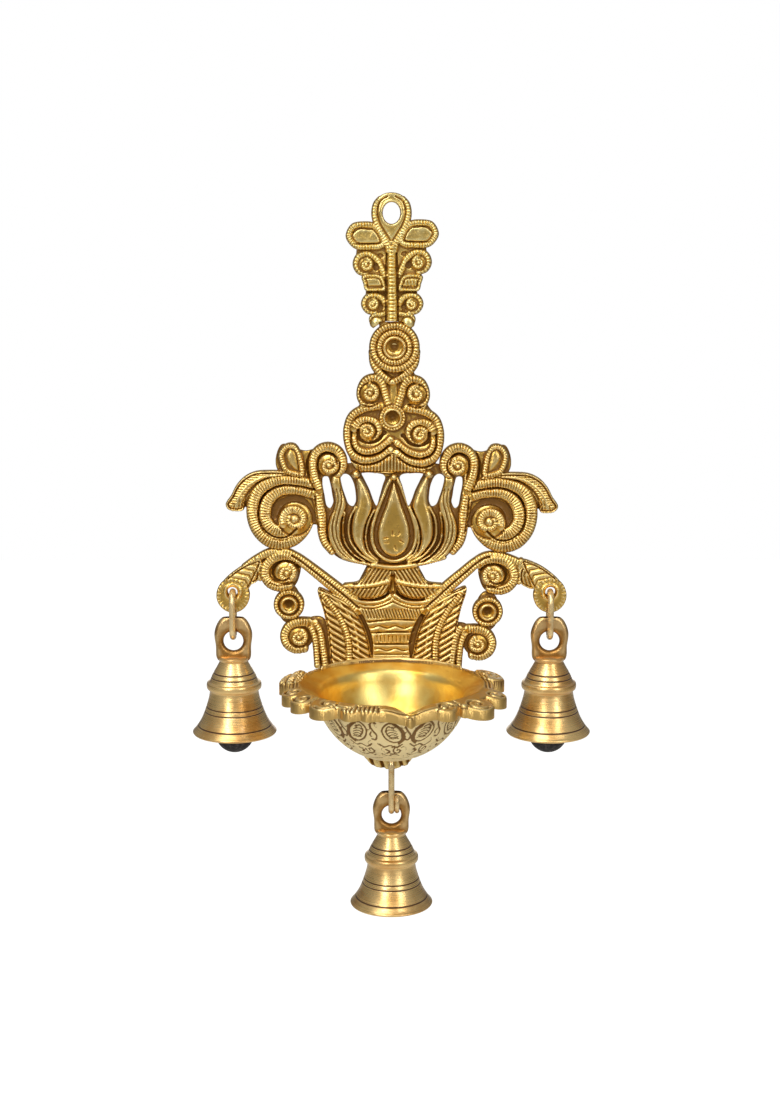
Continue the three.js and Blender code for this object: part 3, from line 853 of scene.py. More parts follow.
class Finish:
    """A material made once and shared by the pieces that wear it."""

    name: str = "finish"

    def material(self) -> bpy.types.Material:
        """The finish's material, made on its first use.

        Returns:
            The material.
        """
        made = bpy.data.materials.get(self.name)
        if made is None:
            made = bpy.data.materials.new(self.name)
            kit = Palette.cleared(made)
            kit.finish(kit.add("ShaderNodeBsdfPrincipled", {}, self.sockets(kit)))
        return made

    def sockets(self, kit: Palette) -> Looks:
        """A value or a node for each input of the shader that isn't left as it is."""
        raise NotImplementedError

    def dress(self, obj: Piece) -> None:
        """Gives a piece this finish."""
        obj.data.materials.clear()
        obj.data.materials.append(self.material())


@dataclass(frozen=True)
class CastBrass(Finish):
    """Cast brass, bright on its crests and brown in its grooves."""

    name: str = "cast_brass_look"
    crest: Colour = rgb("F1D28B")
    body: Colour = rgb("D6AB51")
    groove: Colour = rgb("7D5412")
    dullness: float = 0.23
    lacquer: float = 0.25

    def sockets(self, kit: Palette) -> Looks:
        """Colour, gloss and grain that follow the depth of the relief."""
        depth = kit.read("hollow") + (kit.noise(900.0) - 0.5) * 0.16 + (kit.noise(160.0) - 0.5) * 0.14
        low = depth.between(0.42, 0.84)
        tint = kit.mix(depth.between(0.02, 0.26), self.crest, self.body)
        return {
            "Base Color": kit.mix(low, tint, self.groove),
            "Metallic": 1 - low * 0.45,
            "Roughness": self.dullness + low * 0.28 + kit.noise(420.0) * 0.12,
            "Coat Weight": self.lacquer,
            "Coat Roughness": 0.2,
            "Normal": kit.bump(kit.noise(2400.0, 4.0) * 0.6 + kit.noise(700.0), 0.00010),
        }


@dataclass(frozen=True)
class StainedBrass(CastBrass):
    """The same brass left duller and browner, as on the bells' lugs."""

    name: str = "stained_brass_look"
    crest: Colour = rgb("E3BD80")
    body: Colour = rgb("B0803F")
    groove: Colour = rgb("553817")
    dullness: float = 0.3


@dataclass(frozen=True)
class PaleBrass(CastBrass):
    """The same brass with less patina in its grooves, as on the finial."""

    name: str = "pale_brass_look"
    crest: Colour = rgb("F4DE96")
    body: Colour = rgb("DDB964")
    groove: Colour = rgb("9A7230")


@dataclass(frozen=True)
class WornBrass(CastBrass):
    """The same brass paler and duller, as on the bowl's flange."""

    name: str = "worn_brass_look"
    crest: Colour = rgb("F6DC9C")
    body: Colour = rgb("DFB86C")
    groove: Colour = rgb("7A5620")
    dullness: float = 0.32


@dataclass(frozen=True)
class PolishedBrass(Finish):
    """The bowl's brass: polished inside, paler and satin outside, and brown in what is engraved."""

    name: str = "polished_brass_look"
    bright: Colour = rgb("F7DC84")
    deep: Colour = rgb("E3B048")
    satin: Colour = rgb("FFE6A8")
    groove: Colour = rgb("85602C")

    def sockets(self, kit: Palette) -> Looks:
        """Colour and gloss, with brown where the mesh says something is cut."""
        cut = (kit.read("hollow") + (kit.noise(800.0) - 0.5) * 0.16).between(0.40, 0.74)
        outside = kit.read("satin")
        inner = kit.mix(kit.noise(60.0).between(0.35, 0.65), self.bright, self.deep)
        stain = kit.noise(130.0, 4.0).between(0.45, 0.75) * 0.22
        tint = kit.mix(outside, inner, kit.mix(stain, self.satin, self.groove))
        return {
            "Base Color": kit.mix(cut, tint, self.groove),
            "Metallic": 1 - cut * 0.3 - outside * 0.66,
            "Roughness": 0.26 + outside * 0.10 + cut * 0.22 + kit.noise(260.0) * 0.12,
            "Normal": kit.bump(kit.noise(1500.0, 4.0) + kit.noise(420.0) * outside, 0.00007),
        }


@dataclass(frozen=True)
class TurnedBrass(Finish):
    """Lathe-turned satin brass, browner towards its grooves."""

    name: str = "turned_brass_look"
    bright: Colour = rgb("FFD88F")
    deep: Colour = rgb("E6B063")
    groove: Colour = rgb("4C2A0C")

    def sockets(self, kit: Palette) -> Looks:
        """Fine rings round the upright axis, and stains."""
        at = kit.add("ShaderNodeSeparateXYZ", {}, {"Vector": kit.place()}, out="Z")
        ring = kit.add("ShaderNodeTexNoise", {"noise_dimensions": "1D"},
                       {"W": at, "Scale": 3200.0, "Detail": 3.0})
        cut = (kit.read("hollow") + (kit.noise(500.0) - 0.5) * 0.2).between(0.35, 0.85)
        stain = kit.noise(90.0, 4.0).between(0.38, 0.72)
        return {
            "Base Color": kit.mix(cut, kit.mix(stain, self.bright, self.deep), self.groove),
            "Metallic": 0.92 - cut * 0.3,
            "Roughness": 0.22 + cut * 0.25 + ring * 0.12,
            "Coat Weight": 0.7,
            "Coat Roughness": 0.14,
            "Normal": kit.bump(ring, 0.00007),
        }


@dataclass(frozen=True)
class WireBrass(Finish):
    """Drawn brass wire."""

    name: str = "wire_brass_look"
    bright: Colour = rgb("FADCA0")
    dull: Colour = rgb("BE9050")

    def sockets(self, kit: Palette) -> Looks:
        """Brass with darker, duller patches."""
        dull = kit.noise(240.0, 4.0).between(0.45, 0.75)
        return {
            "Base Color": kit.mix(dull, self.bright, self.dull),
            "Metallic": 0.7,
            "Roughness": 0.2 + dull * 0.22,
            "Coat Weight": 0.6,
            "Coat Roughness": 0.16,
            "Normal": kit.bump(kit.noise(1400.0), 0.00006),
        }


@dataclass(frozen=True)
class DarkIron(Finish):
    """Dark iron of the clappers."""

    name: str = "dark_iron_look"
    dark: Colour = rgb("2E2B29")
    worn: Colour = rgb("5A5450")

    def sockets(self, kit: Palette) -> Looks:
        """Nearly black, with paler worn spots."""
        worn = kit.noise(700.0, 5.0).between(0.45, 0.8)
        return {
            "Base Color": kit.mix(worn, self.dark, self.worn),
            "Metallic": 0.55,
            "Roughness": 0.62 - worn * 0.15,
            "Normal": kit.bump(kit.noise(1100.0, 5.0), 0.00025),
        }


def enter(made: Piece, finish: Finish, body: str, slot: str, node: str = "") -> None:
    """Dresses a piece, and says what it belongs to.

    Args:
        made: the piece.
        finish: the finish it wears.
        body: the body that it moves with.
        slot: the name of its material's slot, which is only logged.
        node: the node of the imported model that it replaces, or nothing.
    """
    finish.dress(made)
    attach(made, body)
    if node:
        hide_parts(node)
    log.info("%s: %s on %s", made.name, slot, body)


@dataclass
class Casting:
    """A flat-backed relief that becomes one piece.

    Attributes:
        node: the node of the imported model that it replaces.
        canvas: where it is drawn.
        seed: the seed of its unevenness.
        wear: how uneven it is, in millimetres.
        faces: the most triangles that it keeps.
        finish: the finish it wears.
    """

    node: str
    canvas: Canvas
    seed: int
    wear: float = 0.07
    faces: int = 190_000
    finish: Finish = field(default_factory=CastBrass)

    def draw(self) -> None:
        """Draws every form on the canvas."""
        raise NotImplementedError

    def build(self) -> None:
        """Draws, weathers, meshes and dresses the piece."""
        self.draw()
        self.canvas.weathered(self.seed, self.wear)
        corners, faces = self.canvas.surface()
        made = make_mesh(f"{self.node}_casting", corners * TOWARDS_VIEWER, faces)
        made.data.calc_loop_triangles()
        count = len(made.data.loop_triangles)
        if count > self.faces:
            apply_modifier(made, "DECIMATE", ratio=self.faces / count)
        creased(made, CAST_CREASE)
        flat_back(made)
        self.tarnish(made)
        enter(made, self.finish, "root", "cast_brass", self.node)

    def tarnish(self, made: Piece) -> None:
        """Stores the patina: from the relief in front, and in soft blotches behind.

        Args:
            made: the piece.
        """
        x, y, z = places(made).T
        depth = self.canvas.sample(self.canvas.hollows(), x, z)
        blotches = self.canvas.sample(self.canvas.blotches(self.seed + 1, 2.6), x, z)
        front = np.clip((-y - 0.2) / 0.6, 0, 1)
        paint(made, "hollow", depth * front + (0.42 + 0.1 * blotches) * (1 - front))


# How the bands of the castings are struck.
BEADED = Rope(4.2, 2.4, 1.2, 1.0)
RIBBED = Rope(4.3, 2.6, 1.1, 0.95)
SMOOTH = Rope(4.5, 2.8, depth=0.0)
RIDGE = Rope(3.9, 2.4, depth=0.0)
FINE = Rope(4.4, 3.4, 0.85, 0.55)

# How much wider a band is than its crest, which its width is given for.
SPREAD = 1.26


@dataclass
class Pen:
    """Draws forms given for the left hand on either hand of a canvas.

    Attributes:
        canvas: where it draws.
        hand: the hand it draws on.
        shift: how far the right hand's forms are moved.
    """

    canvas: Canvas
    hand: Hand
    shift: Point = (0.0, 0.0)

    def line(self, points: Outline, closed: bool = False) -> Line:
        """A smooth line on this hand."""
        return smooth(self.hand.of(points, self.shift), closed)

    def spot(self, x: float, z: float) -> Point:
        """A place on this hand."""
        return self.hand.of([(x, z)], self.shift)[0]

    def band(self, points: Outline, widths: Point, style: Rope = BEADED, cover: bool = False) -> None:
        """A band with its width at both ends."""
        self.canvas.rope(self.line(points), (widths[0] * SPREAD, widths[1] * SPREAD), style, cover)

    def web(self, points: Outline, height: float, sink: bool = False) -> None:
        """A flat form with smooth edges."""
        self.canvas.plate(self.line(points, True), height, sink=sink)

    def leaf(self, points: Outline, border: float, sunk: float, veins: Veins | None = None,
             style: Rope = BEADED) -> None:
        """A leaf with a struck border.

        Args:
            points: its outline.
            border: the width of the border.
            sunk: the height of the middle.
            veins: ribs on the middle.
            style: how the border is struck.
        """
        if veins:
            veins = replace(veins, foot=self.spot(*veins.foot), tip=self.spot(*veins.tip))
        self.canvas.leaf(self.line(points, True), border, style, sunk, veins)

    def petal(self, points: Outline, height: float, crown: float, reach: float) -> None:
        """A smooth swelling form."""
        self.canvas.petal(self.line(points, True), height, crown, reach)

    def ball(self, x: float, z: float, radius: float, height: float, base: float = 2.0) -> None:
        """A round boss."""
        self.canvas.ball(*self.spot(x, z), radius, height, base)

    def cut(self, points: Outline, width: float = 0.9, depth: float = 1.5) -> None:
        """A dark groove."""
        self.canvas.groove(self.line(points), width, depth)

    def pierce(self, points: Outline) -> None:
        """A hole right through."""
        self.canvas.pierce(self.line(points, True))

    def stain(self, points: Outline, amount: float) -> None:
        """Patina inside a closed line; at the volute's crescent it is also painted shade."""
        self.canvas.fill(self.canvas.stain, self.line(points, True), amount)

    def whorl(self, x: float, z: float, radius: float, start: float, height: float = 4.8) -> None:
        """A boss wound from a fine ribbed strand.

        Args:
            x, z: its centre.
            radius: its outer radius.
            start: where the strand comes in, in degrees.
            height: the height of its middle.
        """
        self.ball(x, z, radius, height - 1.0, 2.2)
        path = straight(self.hand.of(spiral(x, z, (radius * 0.68, radius * 0.3), start, -400), self.shift))
        style = Rope(height, height - 1.9, 0.95, 0.8)
        self.canvas.rope(path, (radius * 0.62, radius * 0.38), style, True)
        self.ball(x, z, radius * 0.26, height, height - 1.4)

    def roundel(self, x: float, z: float, radius: float, struck: float, ring: float, pit: float) -> None:
        """A struck disc with a smooth ring round a conical pit.

        Args:
            x, z: its centre.
            radius: its outer radius.
            struck: the width of its outer struck band.
            ring: the radius of the smooth ring's crest.
            pit: the radius of the pit.
        """
        x, z = self.spot(x, z)
        c = self.canvas
        c.plate(circle(x, z, radius), 2.4, sink=True)
        c.rope(circle(x, z, radius - struck / 2), (struck, struck), BEADED, True)
        inner = radius - struck
        if inner > ring + 1.6:
            wide = inner - ring - 0.9
            c.rope(circle(x, z, (inner + ring + 0.8) / 2), (wide, wide), RIBBED, True)
        r = c.near(circle(x, z, ring), ring + 1)
        dx, dz = c.offsets(r, x, z)
        out = np.hypot(dx, dz)
        crest = 4.6 - 1.2 * np.clip(np.abs(out - ring) / 0.8, 0, 1) ** 2
        # The pit's floor sinks towards its top, so its upper half lies deeper and takes a darker colour: a
        # painted shadow of the rim, besides the tilt of the shape itself.
        cone = 1.1 + 2.5 * (out / pit) ** 1.2 - 0.7 * dz / pit
        c.lay(r, ring + 0.8 - out, np.where(out < pit, np.minimum(cone, crest), crest), True)


@dataclass
class Finial(Casting):
    """The hanging eye over two tiers of leaves and curls.

    Attributes:
        seat: the middle of the panel's upper roundel, which it ends against.
        seat_radius: the radius of its end.
    """

    node: str = "finial"
    canvas: Canvas = field(default_factory=lambda: Canvas(-22, 22, -56, 9, 0.22))
    seed: int = 11
    finish: Finish = field(default_factory=PaleBrass)
    seat: Point = (0.0, -54.0)
    seat_radius: float = 10.5

    def draw(self) -> None:
        """Draws the finial from the stem out."""
        c = self.canvas
        for hand in Hand:
            self.web(Pen(c, hand))
        for hand in Hand:
            self.upper(Pen(c, hand, (0.6, 0.8)))
            self.lower(Pen(c, hand, (0.6, 0.0)))
        self.eye()
        c.pierce(circle(*self.seat, self.seat_radius))
        c.plate(box(-TONGUE_HALF, TONGUE_HALF, TONGUE_FOOT, TONGUE_TOP), TONGUE_THICK, 0.1, sink=True)

    @staticmethod
    def web(pen: Pen) -> None:
        """The sheet behind one hand's leaves and curls."""
        pen.web([(0.5, -7), (-6, -6), (-13, -8), (-14, -14.6), (-14.2, -20.4), (-12.4, -24.6), (-10.8, -28),
                 (-10.4, -32), (-10.8, -37), (-8.4, -41), (-7.6, -45), (0.5, -46)], 2.0)

    @staticmethod
    def upper(pen: Pen) -> None:
        """The upper leaf and curl."""
        pen.leaf([(-3, -8.4), (-6.5, -4.6), (-11, -3.9), (-16, -4.9), (-18.4, -9.5), (-16.8, -13),
                  (-14, -15), (-8, -15.2), (-4.5, -15), (-2, -13)], 2.5, 3.3)
        pen.cut([(-14.8, -12.7), (-8, -12.7), (-4.6, -12.4)], 0.7, 0.9)
        pen.cut([(-15.4, -8.4), (-13, -6.8), (-8.4, -7)], 0.7, 0.9)
        pen.band([(-2.4, -26), (-4, -22.5), (-6, -18.8), (-9.5, -16.9), (-13, -17.8), (-14.2, -20.8),
                  (-13, -23.4), (-10.6, -24.4)], (2.0, 2.4), BEADED, True)
        pen.whorl(-10.2, -21, 3.3, 90, 4.6)
        pen.web([(-6.2, -20.4), (-7.4, -21.8), (-6.4, -23.4), (-5, -22.4)], 0.8, True)
        pen.web([(-4.2, -16.6), (-5.6, -17), (-4.6, -18.2), (-3.2, -17.8)], 1.0, True)

    @staticmethod
    def lower(pen: Pen) -> None:
        """The middle leaf, the lower curl and the lump below it."""
        ribs = Veins((-2, -29), (-12, -27.6), 1.3, 0.9, 0.0) if pen.hand is Hand.RIGHT else None
        pen.leaf([(-2.2, -29.5), (-4, -25.4), (-8, -24.6), (-12, -25.7), (-11.4, -28.5), (-10.4, -31.4),
                  (-5, -31.6), (-2.2, -31.4)], 1.5, 3.2, ribs)
        pen.cut([(-10.6, -29.7), (-3.4, -29.6)], 0.7, 0.9)
        pen.cut([(-10.8, -32), (-6, -32), (-2.4, -32.6)], 0.8, 1.2)
        pen.band([(-2.6, -36.4), (-3.8, -34.4), (-6.6, -33.4), (-9.6, -34), (-11, -36.6), (-9.6, -39.2),
                  (-7, -40)], (2.0, 2.2), BEADED, True)
        pen.whorl(-7.6, -36.8, 2.9, 90, 4.7)
        pen.web([(-4.6, -36.6), (-5.4, -38), (-4.4, -39.6), (-3.4, -38.2)], 0.9, True)
        pen.band([(-2.2, -40.4), (-5, -41), (-8, -42.4), (-7.6, -45)], (1.7, 1.7))
        pen.ball(-6.0, -44.2, 2.7, 4.0)

    def eye(self) -> None:
        """The hanging eye and the stem below it."""
        c = self.canvas
        stem = smooth([(0, -10.5), (0, -20), (0.2, -34), (0.4, -46)])
        c.rope(stem, (3.0, 4.4), Rope(4.8, 2.8, 1.45, 1.1), True)
        for x in (-2.3, 2.5):
            c.groove(smooth([(x * 0.8, -16), (x, -26), (x, -44)]), 0.7, 1.2)
        face = smooth([(0, 7.5), (-3.6, 6.7), (-6.3, 4.2), (-7.7, 0), (-6.8, -4), (-3, -8.6), (0, -13.4),
                       (3, -8.6), (6.8, -4), (7.7, 0), (6.3, 4.2), (3.6, 6.7)], True)
        c.plate(face, 3.6, sink=True)
        for pen in (Pen(c, hand) for hand in Hand):
            pen.band([(-4.6, 4.9), (-6.2, 3), (-6.9, -0.6), (-6.2, -4.4), (-4.2, -7.8), (-2.2, -11.2),
                      (-1.1, -15.4)], (1.9, 2.0))
            pen.cut([(-1.6, 6.0), (-4.4, 4.2), (-5.6, 0.4), (-4.7, -4.2), (-2.6, -7.9), (-0.4, -11.4)],
                    0.7, 1.0)
        c.rope(oval(0, -0.6, 4.1, 4.9), (1.1, 1.1), Rope(4.1, 3.4, depth=0.0))
        c.pierce(oval(0, -0.6, 3.5, 4.3))


@dataclass
class Panel(Casting):
    """The pierced panel: tower, lotus, volutes, arms and pot.

    Attributes:
        link_hole: the radius of the holes that the links hang from.
        screw_out, screw_up: how far the two screws stand from the middle, and their height.
        screw_head, screw_land: the radius of a head's pocket, and how deep its straight edge is.
        screw_hole: the radius of the holes for their shanks.
    """

    node: str = "back_panel"
    canvas: Canvas = field(default_factory=lambda: Canvas(-74, 74, -234, -42, 0.27))
    seed: int = 23
    link_hole: float = 2.1
    screw_out: float = 7.0
    screw_up: float = -192.0
    screw_head: float = 3.5
    screw_land: float = 0.3
    screw_hole: float = 1.8

    def draw(self) -> None:
        """Draws the panel from its webs out."""
        c = self.canvas
        self.pot()
        for hand in Hand:
            self.strands(Pen(c, hand, (-3.0, -2.6)))
            self.arm(hand)
        ground = [(-29, -110), (-26, -104), (26, -104), (29, -110), (29.4, -130), (27, -136), (21, -142),
                  (0, -145), (-21, -142), (-27, -136), (-29.4, -130)]
        c.plate(smooth(ground, True), 1.2)
        for hand in Hand:
            self.petals(Pen(c, hand, (0.8, 0.0)))
        self.heart()
        for hand in Hand:
            self.wing(Pen(c, hand, (0.4, -0.8)))
            self.volute(Pen(c, hand, (0.4, -1.2)))
            self.side_scroll(Pen(c, hand, (1.6, -0.4)))
        self.tower()
        self.holes()

    def tower(self) -> None:
        """Roundel, two tiers of scrolls and the fan."""
        c = self.canvas
        ground = [(-6.4, -60), (-7.4, -65), (-12, -68), (-12.8, -73), (-13, -77.4), (-18.4, -84),
                  (-18.2, -97), (-12.8, -105.2), (14, -105.2), (20.2, -98), (20.2, -85), (14.8, -77.6),
                  (14.4, -72), (13.6, -68), (9.4, -65), (8.6, -60)]
        c.plate(smooth(ground, True), 2.3)
        fan = straight([(0.8, -96.8), (14.6, -102.6), (13.6, -105.8), (-12.8, -105.4), (-14, -101.4)], True)
        c.leaf(fan, 0.4, RIDGE, 2.8, Veins((-14, -101), (14, -101), 1.35, 1.0, 0.0))
        for hand in Hand:
            self.big_scroll(Pen(c, hand, (1.8, -1.2)))
            self.small_scroll(Pen(c, hand, (1.4, -0.5)))
        mid = Pen(c, Hand.LEFT)
        mid.band([(0.8, -69), (0.8, -77.6)], (2.6, 2.6), Rope(3.1, 2.3, depth=0.0))
        mid.roundel(0.4, -82.8, 5.4, 1.2, 3.5, 2.9)
        for side in (-1, 1):
            egg = [(1.2 + side * 8.9, -56), (1.1 + side * 8.2, -61), (0.8 + side * 5.2, -65),
                   (0.4 + side * 0.6, -68)]
            mid.band(egg, (2.6, 2.6))
            mid.cut([(x - side * 1.9, z + 0.6) for x, z in egg], 0.7, 1.0)
        mid.roundel(1.2, -54.2, 10.3, 2.9, 4.1, 3.1)

    @staticmethod
    def big_scroll(pen: Pen) -> None:
        """The large scroll and its two struck bands below."""
        pen.web([(-16.4, -84), (-10, -81), (-2.6, -84), (-1, -90.4), (-8, -96.6), (-15.6, -94)], 1.5)
        pen.band([(-4.5, -78), (-11, -79), (-16, -82), (-18, -87), (-17.8, -93), (-15.8, -98),
                  (-10.8, -100.2), (-5, -99.2), (-0.4, -96)], (2.6, 2.6))
        pen.band([(-15.4, -91.6), (-14.2, -95), (-10.6, -96.8), (-6, -95.8), (-2.4, -93.6), (-0.4, -91.8)],
                 (2.0, 2.4))
        pen.cut([(-16.4, -86), (-16.4, -93.4), (-14.6, -96.8), (-10.6, -98.5), (-5.4, -97.6), (-0.9, -94)],
                0.8, 1.4)
        pen.cut([(-19, -96.6), (-16.6, -100.2), (-12, -102), (-6, -101.2), (-0.9, -98)], 0.9, 1.6)
        pen.band([(-15, -87), (-13.4, -84.8), (-10.2, -84), (-7, -85), (-5.8, -87.6), (-7.2, -90),
                  (-9.6, -90.8)], (3.2, 3.6), RIBBED, True)
        pen.whorl(-9.8, -88.4, 3.9, 160)
        pen.cut([(-13.6, -88), (-13.2, -91.2), (-10, -93), (-6, -92.2), (-3.6, -89.6)], 1.6, 1.6)
        pen.ball(-3, -89, 0.9, 0.9, 0.8)

    @staticmethod
    def small_scroll(pen: Pen) -> None:
        """The upper scroll."""
        pen.band([(-1.2, -77.4), (-2.6, -73), (-3.8, -69), (-6.6, -66.6), (-10.2, -67.4), (-12.3, -70.6),
                  (-12.6, -74), (-11.4, -77)], (2.6, 2.6), BEADED, True)
        pen.whorl(-8.7, -72.7, 4.4, 90)
        pen.cut([(-12, -77.4), (-9, -78.2), (-5.6, -77)], 0.7, 1.2)

    @staticmethod
    def side_scroll(pen: Pen) -> None:
        """The scroll and the lobe at the tower's foot."""
        pen.web([(-47, -104), (-45, -94), (-35, -96.6), (-26, -93.6), (-20, -96), (-21, -108), (-30, -113)],
                2.0)
        pen.leaf([(-36, -107), (-36.6, -98.4), (-39.4, -93.6), (-43.2, -93.6), (-46.2, -97.4), (-45.6, -102),
                  (-43.4, -105.8)], 2.4, 2.4)
        pen.petal([(-41.4, -95.6), (-43.2, -98.4), (-42, -101.6), (-38.4, -104.8), (-38.4, -100),
                   (-39.4, -96.6)], 3.1, 0.9, 1.8)
        pen.band([(-29.4, -112.4), (-31.6, -106), (-31.9, -100), (-30, -96.4), (-26.4, -94.9), (-22.6, -96),
                  (-20.3, -99.4), (-20.2, -103), (-22, -105.6)], (3.0, 3.2), RIBBED, True)
        pen.cut([(-33.2, -97), (-34.6, -101), (-34, -107), (-31.4, -113)], 0.8, 1.4)
        pen.whorl(-25.6, -102.4, 4.7, 60)
        pen.cut([(-29.3, -107.6), (-30.4, -103), (-29.8, -99), (-27.6, -97.3), (-25.2, -97.2), (-23, -98.8),
                 (-22.2, -101.6)], 1.0, 1.5)

    @staticmethod
    def wing(pen: Pen) -> None:
        """The long leaf above the volute."""
        pen.web([(-32, -108), (-44, -105.4), (-56, -105.8), (-63, -110.8), (-67, -119), (-62, -120.4),
                 (-56, -118), (-45, -112)], 2.2)
        pen.leaf([(-36, -107), (-44, -104.9), (-50, -104.6), (-56, -105.1), (-60.4, -107.2), (-63.8, -110.8),
                  (-66, -115), (-68.2, -118.6), (-66.8, -120.9), (-61, -121), (-60, -117.6), (-57.4, -113),
                  (-53, -109.6), (-46, -107.8)], 0.9, 3.0,
                 Veins((-46, -103), (-68, -121), 1.5, 0.8, 1.1), RIDGE)
        pen.band([(-45, -106.4), (-53, -107.4), (-58.8, -110.6), (-62.4, -115), (-64, -119.6)],
                 (0.8, 1.2), RIDGE)
        pen.cut([(-38, -107.6), (-46, -107.2), (-52.6, -108.6), (-57.4, -112.2), (-60, -116.6),
                 (-60.6, -121)], 0.9, 1.6)

    @staticmethod
    def volute(pen: Pen) -> None:
        """The volute with its deep crescent."""
        pen.web([(-57, -118), (-45, -109), (-28.6, -106), (-28.8, -127), (-33, -127.6), (-36, -131.6),
                 (-45, -136), (-55, -131)], 1.6)
        pen.band([(-31.4, -110.6), (-35, -109.6), (-41, -108.9), (-48, -109.4), (-53.8, -112.2),
                  (-56.7, -117.6), (-57, -123.6), (-55, -129.4), (-50.8, -133.6), (-46, -134.8),
                  (-40.6, -133.2), (-36.8, -129.4), (-35, -125.6)], (3.4, 4.9), RIBBED, True)
        pen.band([(-33, -114.4), (-37, -112.9), (-41, -112.4), (-45.4, -112.9), (-49.4, -115.4),
                  (-51.9, -120), (-51.9, -125.2), (-49.4, -129.2), (-45.4, -130.5), (-41.6, -129),
                  (-39.6, -126)], (3.0, 5.4), RIBBED, True)
        crescent = [(-49.2, -124.8), (-49.2, -120.4), (-46, -116.8), (-40.6, -115), (-36, -116.2),
                    (-32.6, -120), (-31, -126), (-34, -126), (-37, -122), (-40.6, -119.6), (-44, -120.6),
                    (-46, -124)]
        pen.web(crescent, 1.1, True)
        # The crescent is made browner and darker: partly patina, partly painted shade of its deep recess.
        pen.stain(crescent, 0.3)
        pen.band([(-33.6, -128), (-35.4, -123.4), (-38, -120.6), (-41, -119.8), (-44.2, -121.2),
                  (-45.6, -124.6), (-44.6, -127.4)], (1.4, 1.6), RIDGE, True)
        pen.whorl(-39.8, -124.8, 7.1, 200)
        for line in ([(-31, -112.6), (-35, -111.6), (-39, -110.9), (-44.6, -110.6), (-49.6, -112.4),
                      (-53.2, -116), (-54.7, -121), (-54.2, -126), (-51.4, -130.2), (-46.8, -132.5),
                      (-42.4, -131.7), (-38.9, -128.4)],
                     [(-31.4, -115.4), (-31, -121), (-30, -129)]):
            pen.cut(line, 0.9, 1.6)

    @staticmethod
    def petals(pen: Pen) -> None:
        """Two petals and the lotus's border."""
        pen.band([(-31.4, -108), (-30, -117), (-28.8, -124), (-28.7, -130), (-27.4, -134.8),
                  (-24.6, -138.4)], (4.0, 2.4))
        pen.band([(-31.8, -113), (-30.6, -122), (-30.3, -127)], (1.4, 1.0), RIDGE)
        outer = [(-22.6, -104), (-20.8, -108), (-20, -113), (-18.6, -118), (-19.2, -121.4), (-20.6, -125.4),
                 (-21, -130), (-20.4, -134.6), (-17, -139.6), (-12, -143.2), (-19, -142), (-23.6, -138.4),
                 (-25.8, -133.4), (-26.2, -129), (-25.4, -124.6), (-23.4, -119.6), (-23.4, -114),
                 (-24.8, -109)]
        pen.petal(outer, 4.0, 1.5, 1.6)
        pen.stain(outer, 0.2)
        for x in (0.0, 1.6):
            pen.cut([(-22.6 + x, -112), (-22 + x, -117), (-23.4 + x, -122.6), (-24.4 + x, -128),
                     (-23.8 + x, -133), (-21.4 + x, -138), (-17.6 + x, -141.6)], 0.6, 0.7)
        inner = [(-14.4, -106), (-12.4, -108), (-10.4, -111), (-8.8, -115), (-7.9, -119), (-8.6, -122),
                 (-10.1, -125.6), (-11.3, -130), (-11.4, -134), (-9.8, -138.4), (-5, -142.8), (-9.6, -141.4),
                 (-13, -138), (-15.6, -134), (-16.4, -130), (-16.2, -126), (-15.4, -122), (-14.2, -118),
                 (-14, -113), (-14.4, -109)]
        pen.petal(inner, 4.3, 1.7, 2.0)
        pen.stain(inner, 0.17)
        pen.band([(-14.8, -119.6), (-17, -124), (-17.7, -129), (-17.1, -133.5), (-14.6, -137.6),
                  (-10.6, -141.2), (-6, -143)], (0.9, 0.9), RIDGE)
        pen.band([(-19.2, -122), (-20, -128), (-19.2, -134.4), (-15.4, -139.6), (-11, -142.4)],
                 (0.7, 0.7), RIDGE)
        pen.band([(-7.2, -121), (-9.4, -125.6), (-10.4, -130), (-10.5, -134), (-9, -138.6), (-5.6, -141.8)],
                 (0.8, 0.8), RIDGE)
        pen.ball(-14.6, -106.2, 1.8, 4.4)

    def heart(self) -> None:
        """The middle petal and the lip."""
        c = self.canvas
        axis = 1.0

        def ring(half: Outline) -> Line:
            """A closed line, even about the axis, from its left half."""
            return smooth(half + [(2 * axis - x, z) for x, z in reversed(half[1:-1])], True)

        rim = ring([(axis, -107), (-1.4, -110), (-3.4, -115), (-5, -119), (-6.8, -124), (-8, -129),
                    (-7.9, -134), (-6, -138.6), (-2.8, -141.4), (axis, -142.4)])
        c.plate(rim, 2.0, sink=True)
        c.rope(rim, (1.7, 1.7), RIDGE)
        face = ring([(axis, -109.4), (-0.4, -113), (-2.2, -119), (-4.1, -124), (-5.4, -129),
                     (-5.3, -134), (-3.6, -138), (-1, -140), (axis, -140.5)])
        c.petal(face, 4.2, 1.4, 1.2)
        c.fill(c.stain, face, 0.09)
        c.ball(axis, -107.4, 1.6, 4.4)
        ticks = ((0.4, -130.4, 90), (-2.4, -132.6, 10), (2.9, -130.6, 70), (-2, -134.6, 0), (4.2, -134, 150),
                 (1.6, -136.6, 100))
        for x, z, turn in ticks:
            dx, dz = 0.9 * math.cos(math.radians(turn)), 0.9 * math.sin(math.radians(turn))
            c.groove(straight([(x - dx, z - dz), (x + dx, z + dz)]), 0.6, 0.4)
        lip = [(-20, -141), (-13, -143), (-6, -144.2), (1, -144.6), (8, -144.2), (15, -143), (22, -141)]
        c.rope(smooth(lip), (1.6, 1.6), RIDGE)
        c.rope(smooth([(-8, -144), (1, -145), (10, -144)]), (2.2, 2.2), SMOOTH)

